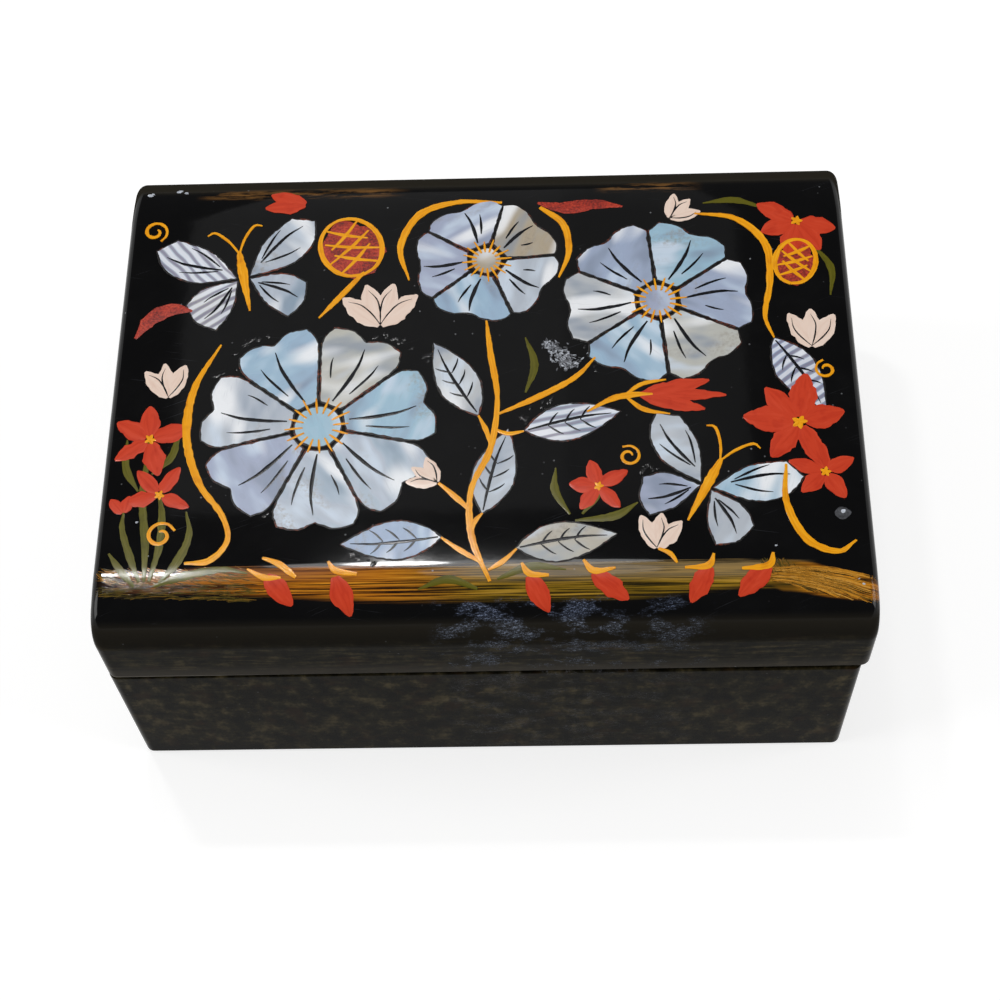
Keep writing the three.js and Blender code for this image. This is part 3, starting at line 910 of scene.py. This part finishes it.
def vein(start, end, bend, width, brush):
    """A single curved line that swells and runs out thin."""
    brush.stroke(
        (*start, width * 0.4), (*toward(start, end, 0.35, bend * 0.8), width),
        (*toward(start, end, 0.7, bend), width * 0.8), (*end, width * 0.2))


def paint(name, base, shadow, light, roughness=0.12, grain=0.3, bump=0.08):
    """Gloss paint laid with a brush: its hairs leave fine streaks along each stroke."""
    finish, x, y, z = begin(name)
    travelled, across, tone, _ = finish.carried("stroke")
    streak = finish.cloud(travelled * 0.16, across * 5, tone * 30, detail=3)
    pool = finish.cloud(x * 0.3, y * 0.3, tone * 9)
    tint = finish.over(
        base, (shadow, (streak.falls(0.36, 0.5) + pool.falls(0.3, 0.46)) * grain),
        (light, streak.rises(0.54, 0.68) * grain))
    relief = finish.bump(streak + pool * 0.6, bump, 0.08)
    return finish.shade(tint, roughness + 0.08 * streak, relief, shine=0.22)


black_lines = Brushwork("black_brush_lines", black_rise, thickness=0.02)
eyes = []
for blossom in ("large_blossom", "medium_blossom", "small_blossom"):
    eye = middle(blossom + "_eye")
    eye_reach = math.dist(farthest(blossom + "_eye", eye), eye)
    eyes.append((eye, eye_reach))
    for name in plates(blossom + "_petal"):
        tip = toward(eye, middle(name), math.dist(farthest(name, eye), eye) / math.dist(middle(name), eye))
        near = (eye_reach + 1.6) / math.dist(tip, eye)
        lean = hand.choice((-1, 1))
        vein(toward(eye, tip, near), toward(eye, tip, 0.84, 0.02 * lean), 0.05 * lean, 0.8, black_lines)
        left = toward(eye, tip, near + 0.12, 0.10 * lean)
        vein(left, toward(eye, tip, 0.74, 0.20 * lean), 0.03 * lean, 0.55, black_lines)
        if hand.random() < 0.6:
            right = toward(eye, tip, near + 0.2, -0.12 * lean)
            vein(right, toward(eye, tip, 0.66, -0.19 * lean), -0.04 * lean, 0.45, black_lines)
butterflies = []
for butterfly in ("upper_butterfly", "lower_butterfly"):
    wings = plates(butterfly)
    heart = np.mean([middle(name) for name in wings], axis=0)
    head = np.mean([middle(name) for name in wings if "fore" in name], axis=0)
    butterflies.append((heart, head))
    for name in wings:
        tip = farthest(name, heart)
        for root, root_aside, end, end_aside, bend, width in (
                (0.24, 0, 0.86, 0.04, 0.05, 0.7), (0.28, 0.03, 0.66, 0.17, 0.03, 0.5),
                (0.28, -0.03, 0.66, -0.15, -0.04, 0.5)):
            vein(toward(heart, tip, root, root_aside), toward(heart, tip, end, end_aside), bend, width,
                 black_lines)
for name in plates("leaf"):
    end = farthest(name, middle(name))
    start = farthest(name, end)
    vein(toward(start, end, 0.04), toward(start, end, 0.9), 0.03, 0.7, black_lines)
    for share in (0.25, 0.42, 0.58):
        for side in (-1, 1):
            rib = toward(start, end, share + 0.13, 0.13 * side)
            vein(toward(start, end, share), rib, 0.05 * side, 0.42, black_lines)

# Red painting.
# Opaque vermilion, laid in single loaded strokes: flowers, fallen petals along the front and back edges, and
# a large bud.
red_rise = 0.119
red_strokes = Brushwork("red_painting", red_rise, thickness=0.02)


def dab(x, y, length, width, turn, brush, tone=None):
    """One press of a loaded brush: round where it lands and pointed where it lifts."""
    at = track((x, y), math.radians(turn))
    brush.stroke(*(
        at(length * share, 0, width * swell)
        for share, swell in ((0, 0.35), (0.22, 0.9), (0.55, 1), (0.85, 0.55), (1, 0.12))),
        tone=tone, tremble=0.15)


def flower(x, y, size, turns, brush):
    """A flower of loose petals about its middle."""
    for turn in turns:
        away = math.radians(turn)
        dab(x + size * 0.12 * math.cos(away), y + size * 0.12 * math.sin(away),
            size * hand.uniform(0.85, 1.1), size * hand.uniform(0.44, 0.6), turn, brush)


flower(-70.5, -13.5, 7.5, (18, 95, 150, 215, 285), red_strokes)
flower(-67.5, -27.0, 6.5, (60, 130, 195, 335), red_strokes)
flower(-74.5, -31.5, 4.5, (80, 130), red_strokes)
flower(69.5, 40.0, 8.5, (200, 255, 300, 345, 150), red_strokes)
flower(24.0, -26.5, 6.0, (30, 105, 175, 235, 310), red_strokes)
for x, y, turn, length in (
        (-44, -46, -50, 8.5), (-30, -46.5, -68, 9.0), (9.5, -47.0, -62, 8.5), (22.5, -46.5, -40, 9.0),
        (46, -45.5, -118, 8.5), (58, -45.5, -135, 9.0), (-40.5, 47.5, 158, 8.5), (-40.5, 47.5, 186, 9.0)):
    dab(x, y, length, length * 0.48, turn, red_strokes)
flower(66.5, -12.0, 10.0, (15, 80, 128, 172, 232, 292), red_strokes)
flower(71.0, -24.0, 7.0, (28, 100, 160, 222, 300), red_strokes)
for turn, length, width in ((13, 15.0, 3.6), (-16, 14.0, 3.4), (-1, 18.0, 3.0)):
    dab(33.5, -4.6, length, width, turn, red_strokes)
red_hearts = (
    (-70.5, -13.5, 1.3), (-67.5, -27.0, 1.1), (69.5, 40.0, 1.4), (24.0, -26.5, 1.1), (66.5, -12.0, 1.7),
    (71.0, -24.0, 1.2))
red_strokes.finish(paint("vermilion_paint", (208, 66, 38), (180, 42, 24), (222, 84, 54)))

# Dry-brushed red.
# A thinner red, scrubbed on with a worn brush before the gold lines, so that the ground shows through it.
scrubbed_rise = 0.070


def scrubbed_red():
    finish, x, y, z = begin("scrubbed_red_paint")
    stipple = finish.cloud(x * 1.9, y * 1.9, 1, detail=4, roughness=0.75)
    patch = finish.cloud(x * 0.22, y * 0.22, 6)
    tint = finish.tones(
        stipple * 0.75 + patch * 0.3,
        (0.36, (40, 10, 8)), (0.46, (122, 30, 20)), (0.56, (176, 48, 30)), (0.68, (206, 80, 48)))
    return finish.shade(tint, 0.3 + 0.15 * stipple, finish.bump(stipple, 0.4, 0.08), shine=0.3)


scrubbed = Brushwork("scrubbed_red", scrubbed_rise, thickness=0.02)
pods = ((-26.5, 35.5, 16.0, 13.0, 112), (67.0, 29.0, 12.0, 8.5, 76))
for x, y, length, width, turn in pods:
    dab(x, y - length / 2, length, width, turn, scrubbed)
scrubbed.stroke((-76, 12, 0.6), (-73, 17, 3.4), (-68.5, 19.5, 3.0), (-64, 19, 0.5))
scrubbed.stroke((12, 46.5, 0.6), (18, 45.0, 3.2), (25, 45.8, 2.8), (31, 45, 0.4))
scrubbed.finish(scrubbed_red())

# Olive painting.
# Blades of grass and small leaves, each a single stroke from the foot to the tip.
olive_rise = 0.072
olive_strokes = Brushwork("olive_painting", olive_rise, thickness=0.02)
for blade in (
        ((-69, -47, 0.7), (-69.5, -38, 1.6), (-71, -27, 1.5), (-70.5, -16, 0.9), (-71, -12, 0.4)),
        ((-68, -47, 0.7), (-66.5, -39, 1.5), (-66.5, -32, 1.4), (-67.5, -27, 0.5)),
        ((-70, -47, 0.7), (-72.5, -41, 1.5), (-74.5, -35, 1.2), (-74.6, -31, 0.4)),
        ((-66, -47.5, 0.6), (-62.5, -42.5, 1.9), (-60.5, -36.5, 1.3), (-61.5, -31, 0.3)),
        ((-67, -48, 0.6), (-60.5, -45.8, 1.9), (-53, -44.5, 1.3), (-48, -45.5, 0.3)),
        ((-71, -48, 0.6), (-74, -44.5, 1.6), (-76.8, -40.5, 0.4)),
        ((-72, -26, 0.4), (-75, -20.5, 1.7), (-75.4, -13.5, 0.3)),
        ((-69.5, -22, 0.4), (-65.5, -17.5, 1.7), (-64.5, -10, 0.3)),
        ((-1, -49.5, 0.6), (-7, -47.4, 1.8), (-13, -49.4, 0.3)),
        ((3, -47.5, 0.6), (10, -44.8, 1.8), (17, -45.6, 0.3)),
        ((20.5, -33, 0.5), (23.5, -29, 1.4), (24, -25, 0.5)),
        ((19, -34.5, 0.5), (27, -33.6, 1.8), (32, -30.5, 0.3)),
        ((18, -33, 0.5), (15, -27.5, 1.7), (15.2, -22, 0.3)),
        ((9, -3.5, 0.4), (11.0, 3.5, 1.7), (9, 10.5, 0.3)),
        ((62, 44, 0.4), (56, 46.2, 1.8), (49, 45.5, 0.3)),
        ((73, 33, 0.4), (76.2, 27, 1.6), (75.5, 20, 0.3))):
    olive_strokes.stroke(*blade)
olive_strokes.finish(paint("olive_paint", (96, 92, 20), (66, 64, 14), (122, 114, 34)))

# Cream painting.
# Buds in a warm flesh-coloured cream, shaded with a few thin black lines once dry.
cream_rise = 0.074
cream_strokes = Brushwork("cream_painting", cream_rise, thickness=0.02)
for x, y, size, turns in (
        (-22.5, 14.5, 11.0, (44, 76, 108, 140)), (35.5, -41.0, 8.0, (48, 80, 112)),
        (70.5, 7.0, 9.5, (56, 88, 118)), (-67.5, -3.0, 8.5, (68, 100, 130)),
        (41.5, 41.5, 7.0, (14, 48, 80)), (-9.5, -25.0, 6.5, (112, 146, 178))):
    for turn in turns:
        dab(x, y, size, size * 0.46, turn, cream_strokes)
        tip = track((x, y), math.radians(turn))(size * 0.86, 0, 0)[:2]
        vein((x, y), tip, hand.choice((-0.12, 0.12)), 0.34, black_lines)
cream_strokes.finish(paint(
    "cream_paint", (242, 218, 202), (226, 192, 172), (250, 234, 224), grain=0.25))
black_lines.finish(paint("black_brush_paint", (16, 17, 22), (8, 8, 10), (44, 50, 62)))

# Gold painting.
# Warm yellow gold, drawn last and thickest: stems, tendrils and stamens, the pods' outlines, and the
# butterflies' bodies and feelers.
gold_rise = 0.142
gold_lines = Brushwork("gold_painting", gold_rise, thickness=0.016)


def curl(x, y, radius, start, turns, width):
    """A tendril that winds in on itself."""
    count = max(6, round(abs(turns) * 9))
    line = []
    for share in (i / count for i in range(count + 1)):
        at = track((x, y), math.radians(start) + 2 * math.pi * turns * share)
        line.append(at(radius * (1 - 0.72 * share), 0, width * (0.5 + 0.6 * share - 0.7 * share ** 4)))
    gold_lines.stroke(*line)


for stem in (
        ((1.5, -48, 0.7), (-2.2, -38, 1.5), (-2.4, -27, 1.2), (1.6, -17, 1.4), (3.0, -5, 1.1), (1.6, 6, 1.4),
         (0.6, 15, 0.5)),
        ((-2.4, -32, 0.6), (-5.6, -28.6, 1.3), (-9.2, -25.2, 0.6)),
        ((39.5, -44.5, 0.4), (38.2, -42.4, 1.1), (35.8, -41.2, 0.6)),
        ((0.2, -44, 0.6), (-4.5, -41, 1.1), (-8.5, -37.9, 0.4)),
        ((1.2, -45.5, 0.5), (4.2, -43.6, 1.1), (7, -40.8, 0.4)),
        ((-2.3, -37, 0.5), (-1.6, -34.4, 1.0), (0, -32.4, 0.4)),
        ((1.7, -16.5, 0.5), (0.6, -12.6, 1.1), (-1, -9, 0.4)),
        ((2.4, -12.5, 0.5), (5.4, -13.6, 1.0), (8.6, -13, 0.4)),
        ((2.6, -9, 0.5), (12, -4.5, 1.4), (19.5, 0, 1.1), (24, 5, 0.4)),
        ((-57, 10, 0.4), (-62, -1, 1.5), (-62.8, -13, 1.8), (-59.5, -24, 1.5), (-54, -32, 1.2),
         (-52.5, -38, 1.0), (-56, -42.5, 1.4), (-61, -43.0, 0.5)),
        ((47, 42.6, 0.4), (56, 41.0, 1.4), (62.2, 34, 1.7), (62.6, 24, 1.4), (61.0, 15, 1.0),
         (62.6, 9.2, 0.4)),
        ((-16.5, 26, 0.4), (-18.6, 35, 1.4), (-14.5, 43.8, 1.7), (-6, 47.2, 1.3), (4, 46.8, 0.6)),
        ((16.5, 26, 0.4), (18.8, 33, 1.3), (17.6, 40.5, 1.6), (12.5, 45.2, 0.9)),
        ((22, -8.5, 0.4), (27, -5.6, 1.2), (31, -4.6, 1.4), (36, -4.4, 0.4)),
        ((30.5, -5.2, 0.5), (34, -8.2, 1.1), (39.5, -9.4, 0.3)),
        ((30.5, -4.2, 0.5), (34, -1.8, 1.1), (39, -0.9, 0.3)),
        ((63, -22, 0.5), (62.5, -31, 1.4), (66, -39.5, 1.7), (72, -42.5, 1.2), (76, -40, 0.4)),
        ((-36, 16.5, 0.4), (-32, 21.5, 1.3), (-28, 26.5, 1.1), (-26.5, 28.5, 0.5)),
        ((-45, -42, 0.5), (-41.5, -43.5, 1.5), (-38, -46.5, 0.8)),
        ((-48, -44.5, 0.4), (-44.5, -46.4, 1.3), (-41, -46.5, 0.5)),
        ((-31.5, -43, 0.5), (-29.8, -45.2, 1.5), (-25.5, -46.0, 0.7)),
        ((8, -44, 0.5), (9.5, -46.4, 1.4), (13.5, -46.8, 0.6)),
        ((20.5, -43.5, 0.5), (22.6, -46, 1.5), (27, -45.4, 0.5)),
        ((47, -42.5, 0.5), (45.8, -45.2, 1.4), (41, -45.6, 0.5)),
        ((59, -42.5, 0.5), (58, -45.3, 1.5), (52.5, -46, 0.6))):
    gold_lines.stroke(*stem)
for tendril in ((-66.5, -36.5, 3.2, 20, 1.25, 1.1), (73.0, 1.0, 2.4, 100, 1.2, 0.9),
                (-74.0, 40.5, 3.0, -60, 1.3, 1.0), (30.5, -19.5, 2.6, 120, -1.3, 0.9)):
    curl(*tendril)

# The pods' outlines and their lattice
for x, y, length, width, turn in pods:
    at = track((x, y - length / 2), math.radians(turn))
    rim = []
    for angle in (2 * math.pi * i / 12 for i in range(13)):
        forward, left = length * (0.52 - 0.5 * math.cos(angle)), width * 0.52 * math.sin(angle)
        rim.append(at(forward, left, 0.7 + 0.5 * math.sin(angle) ** 2))
    gold_lines.stroke(*rim)
    for share in (0.3, 0.52, 0.74):
        spread = width * 0.5 * math.sin(math.pi * share)
        for side in (-1, 1):
            gold_lines.stroke(
                at(length * (share - 0.16), spread * 0.9 * side, 0.4), at(length * share, 0, 0.8),
                at(length * (share + 0.18), -spread * 0.8 * side, 0.4))

# The hearts of the red flowers, the stamens between the petals, and the butterflies' bodies and feelers
for x, y, size in red_hearts:
    for turn in range(0, 360, 72):
        dab(x, y, size, size * 0.6, turn + hand.uniform(-15, 15), gold_lines)
for eye, eye_reach in eyes:
    for i in range(16):
        at = track(eye, 2 * math.pi * i / 16 + 0.1)
        gold_lines.stroke(
            at(eye_reach * 0.62, 0, 0.3), at(eye_reach * 0.95, 0, 0.5),
            at(eye_reach + hand.uniform(1.2, 2.4), 0, 0.25))
for heart, head in butterflies:
    ahead = head - heart
    at = track(heart, math.atan2(ahead[1], ahead[0]))
    gold_lines.stroke(at(-9.5, 0, 0.4), at(-4, 0, 1.5), at(1, 0, 2.1), at(5, 0, 1.5), at(6.8, 0, 0.7))
    for side in (-1, 1):
        gold_lines.stroke(
            at(6.2, 0, 0.4), at(10, side * 1.8, 0.6), at(13, side * 4.4, 0.6), at(12.6, side * 6.2, 0.3))
gold_lines.finish(paint(
    "gold_paint", (248, 168, 18), (214, 126, 8), (255, 196, 60), grain=0.4, bump=0.15))

# Brushed tufts.
# At each end of the band on the front edge its hairs show singly: a fine fur at the left, and a full brush
# at the right.
tuft_rise = 0.012
tufts = Brushwork("brushed_tufts", tuft_rise, thickness=0.006)
edge_line = -flat_half / mm
fan_start = 58
fan_length = 21.2
fur_hairs, fan_hairs, loose_hairs = 330, 250, 70
for i in range(fur_hairs):
    along = hand.uniform(0, 1) ** 1.3
    x = -79 + 30 * along
    down = hand.uniform(1.2, 7.0 + 1.2 * along)
    length = hand.uniform(2.2, 5.2)
    rise = hand.uniform(0.2, 1.8) * (1 - 0.5 * along) * (1 if down < 4.5 else -0.35)
    tone = hand.uniform(0.15, 0.62) if down < 4.2 else hand.uniform(0.0, 0.36)
    tufts.stroke(
        (x, edge_line - down + rise, 0.07),
        (x + length * 0.45, edge_line - down + rise * 0.25, hand.uniform(0.12, 0.3)),
        (x + length, edge_line - down - 0.2, 0.09), tone=tone, tremble=0.1)
for i in range(fan_hairs):
    spread = hand.uniform(-1, 1)
    start = hand.uniform(57, 66) + abs(spread)
    end = min(start + hand.uniform(5, 16), fan_start + fan_length)
    fan = (end - fan_start) / fan_length
    top = 4.2 + 1.6 * spread
    bottom = 4.2 + 3.4 * fan + spread * (1.4 + 1.6 * math.sin(min(fan * 2.2, 1.6)))
    tufts.stroke(
        (start, edge_line - top, 0.1),
        ((start + end) / 2, edge_line - (top + bottom) / 2 + 0.5, hand.uniform(0.14, 0.4)),
        (end, edge_line - bottom, 0.08), tone=hand.choice((0.05, 0.35, 0.55, 0.68, 0.76, 0.85)), tremble=0.12)
for i in range(loose_hairs):
    x = hand.uniform(56.5, 64)
    foot = hand.uniform(1.6, 4.6)
    tufts.stroke(
        (x, edge_line - foot, 0.12), (x - hand.uniform(0.2, 0.8), edge_line - foot + 0.9, 0.2),
        (x - hand.uniform(0.3, 1.2), edge_line - foot + hand.uniform(1.0, 1.7), 0.08),
        tone=hand.uniform(0.05, 0.4), tremble=0.12)


def tuft_paint():
    finish, x, y, z = begin("brown_and_amber_paint")
    tone = finish.carried("stroke")[2]
    uneven = finish.cloud(x * 0.8, y * 0.8, 3)
    tint = finish.tones(
        tone + (uneven - 0.5) * 0.3, (0.0, (30, 22, 10)), (0.25, (86, 74, 24)), (0.5, (150, 100, 34)),
        (0.75, (204, 138, 36)), (1.0, (226, 178, 92)))
    return finish.shade(tint, 0.08 + 0.06 * uneven, finish.bump(uneven, 0.2, 0.05), shine=0.2)


tufts.finish(tuft_paint())

# Knocks and runs.
# Where the box has been knocked the lacquer is bruised grey: a chip at the right, with a painted highlight on
# it, specks at its corners and a frosted patch on the top. Beside some plates it stands in small glossy
# lumps, where glue pushed it up.
bruise_rise = 0.02
frost_marks = 260
bruises_and_painted_highlight = Brushwork("bruised_lacquer_and_highlight", bruise_rise, thickness=0.02)
for x, y, size in (
        (-71.9, -33.4, 0.7), (-69.2, -41.4, 0.8), (-67.5, -42.1, 0.5), (-76.8, 51.6, 1.3), (-75.9, 52.1, 0.8),
        (-70.2, 52.3, 1.5), (-68.4, 52.2, 1.0), (76.4, -49.6, 0.7), (75.7, -48.6, 0.4), (59.5, -41.0, 0.6)):
    dab(x, y, size, size * 0.6, hand.uniform(-30, 30), bruises_and_painted_highlight, tone=0.8)
dab(72.2, -33.9, 3.3, 2.9, 6, bruises_and_painted_highlight, tone=0.25)
for i in range(frost_marks):
    share = hand.uniform(0, 1)
    across = hand.gauss(0, 0.6 + 0.6 * share)
    x = 13.4 + 6.0 * share + 0.75 * across
    y = 9.2 - 6.6 * share + 0.66 * across
    dab(x, y, hand.uniform(0.4, 1.2), hand.uniform(0.15, 0.42), hand.uniform(0, 360), bruises_and_painted_highlight,
        tone=hand.choice((0.3, 0.4, 0.5, 0.6, 0.75)))
# A pale spot in the middle of the chip: a painted highlight.
bruises_and_painted_highlight.rise += 0.025
dab(73.5, -33.6, 1.0, 0.8, 40, bruises_and_painted_highlight, tone=0.9)


def bruise_and_highlight():
    finish, x, y, z = begin("bruised_lacquer_and_highlight")
    tone = finish.carried("stroke")[2]
    crumbs = finish.cloud(x * 1.4, y * 1.4, z, detail=4, roughness=0.65)
    tint = finish.tones(
        tone + (crumbs - 0.5) * 0.9, (0.1, (36, 36, 38)), (0.5, (96, 98, 104)), (0.9, (206, 212, 222)))
    return finish.shade(tint, 0.3 + 0.2 * crumbs, finish.bump(crumbs, 0.5, 0.1), shine=0.25)


bruises_and_painted_highlight.finish(bruise_and_highlight())

lump_rise = 0.03
lumpy_plates = 11
loose_lumps = 40
lumps = Brushwork("lacquer_lumps", lump_rise, thickness=0.06)


def clear_of_plates(spot, gap):
    """Whether a spot lies outside every plate, with a gap to it."""
    for line in sawn_outlines.values():
        away = spot - line
        nearest = np.linalg.norm(away, axis=1).argmin()
        if away[nearest] @ outward(line)[nearest] < gap:
            return False
    return True


def lump(spot):
    """One lump, unless it would lie on a plate."""
    length, width = hand.uniform(0.6, 2.0), hand.uniform(0.5, 1.2)
    if clear_of_plates(spot, 0.5) and clear_of_plates(spot + length * 0.7, 0.3):
        dab(*spot, length, width, 45 + hand.gauss(0, 20), lumps)


for name in hand.sample(plates_but_eyes, lumpy_plates):
    outline = sawn_outlines[name]
    edge_out = outward(outline)
    here = hand.randrange(len(outline))
    for i in range(hand.randint(4, 9)):
        corner = (here + hand.randrange(12)) % len(outline)
        lump(outline[corner] + edge_out[corner] * hand.uniform(0.7, 2.2))
for i in range(loose_lumps):
    lump(np.array((25.5 + hand.gauss(0, 1.8), 10.0 + hand.gauss(0, 2.2))))


def lump_lacquer():
    finish, x, y, z = begin("lump_lacquer")
    swelling = finish.cloud(x * 1.1, y * 1.1, z, detail=3)
    tint = finish.blend((8, 8, 10), (22, 21, 24), swelling.rises(0.4, 0.7))
    return finish.shade(tint, 0.05 + 0.05 * swelling, finish.bump(swelling, 0.6, 0.2), shine=0.35)


lumps.finish(lump_lacquer())

# Floor.
# A plain pale floor that runs up into a wall far off. It is white to the camera and in reflections,
# and keeps the shadow that the box throws on it.
floor_radius = 3.0
wall_height = 1.6
floor_sides = 64
floor_sink = 0.2 * mm
floor_points = []
for radius, height in (
        (0.0, 0), (0.3, 0), (1.0, 0), (2.4, 0), (2.8, 0.08), (2.96, 0.25), (floor_radius, wall_height)):
    for angle in (2 * math.pi * i / floor_sides for i in range(floor_sides)):
        floor_points.append((radius * math.cos(angle), radius * math.sin(angle), height - floor_sink))
floor_mesh = bpy.data.meshes.new("floor")
floor_mesh.from_pydata(floor_points, [], skin(len(floor_points) // floor_sides, floor_sides))
floor_mesh.flip_normals()
placed("floor", floor_mesh)


def pale_floor():
    finish, x, y, z = begin("pale_floor")
    ray = finish.node("LightPath")
    rays = ray["Is Camera Ray"] + ray["Is Glossy Ray"] + ray["Is Transmission Ray"]
    seen = finish.sum("MINIMUM", rays, 1)
    far = finish.node("VectorMath", {"operation": "LENGTH"}, {0: finish.point(x, y, z)})["Value"]
    glow = seen * (0.72 + 0.28 * far.rises(220, 900))
    cloth = finish.blend((174, 174, 174), (180, 180, 179), finish.cloud(x * 0.004, y * 0.004, 1))
    shining = finish.blend((0, 0, 0), (255, 255, 255), glow)
    return finish.shade(cloth, 1.0, shine=0.0, emission_color=shining, emission_strength=1.0)


floor_mesh.materials.append(pale_floor())

# Lamps.
# Four oval softboxes high behind the box, one at each side, and two long dim panels farther back. The
# polished lid mirrors them.


def lamp(name, shape, place, aim, size, radiance):
    """A flat lamp. Radiance is how bright its face looks, where 1 is white."""
    oval_share = math.pi / 4
    data = bpy.data.lights.new(name, "AREA")
    data.shape = shape
    data.size, data.size_y = size
    share = oval_share if shape == "ELLIPSE" else 1
    data.energy = radiance * math.pi * size[0] * size[1] * share
    facing = (Vector(aim) - Vector(place)).to_track_quat("-Z", "Y")
    placed(name, data).matrix_world = Matrix.Translation(place) @ facing.to_matrix().to_4x4()


lamp("key_lamp", "ELLIPSE", (-0.110, 0.424, 1.05), (-0.110, 0, 0.06), (0.080, 0.052), 75)
lamp("strip_lamp", "ELLIPSE", (-0.06, 0.410, 1.05), (-0.06, 0, 0.06), (0.30, 0.08), 9)
lamp("veil_lamp", "ELLIPSE", (0.0, 0.31, 1.05), (0, 0, 0.06), (0.18, 0.15), 3)
lamp("corner_lamp", "ELLIPSE", (-0.296, 0.33, 1.05), (-0.296, 0, 0.06), (0.09, 0.034), 220)
lamp("left_softbox", "RECTANGLE", (-0.95, -0.10, 0.75), (0, 0, 0.03), (0.60, 0.60), 4.8)
lamp("right_softbox", "RECTANGLE", (0.95, -0.10, 0.75), (0, 0, 0.03), (0.60, 0.60), 4.4)
lamp("rear_panel", "RECTANGLE", (-0.13, 0.99, 1.00), (-0.13, 0.99, 0), (0.30, 1.04), 0.45)
lamp("rear_panel_wide", "RECTANGLE", (-0.06, 0.99, 1.00), (-0.06, 0.99, 0), (0.44, 1.04), 0.3)

room_light = 0.18
world = bpy.data.worlds.new("studio")
world.use_nodes = True
backdrop = world.node_tree.nodes["Background"]
backdrop.inputs["Color"].default_value = (1, 1, 1, 1)
backdrop.inputs["Strength"].default_value = room_light
bpy.context.scene.world = world
bpy.context.scene.view_settings.view_transform = "Standard"
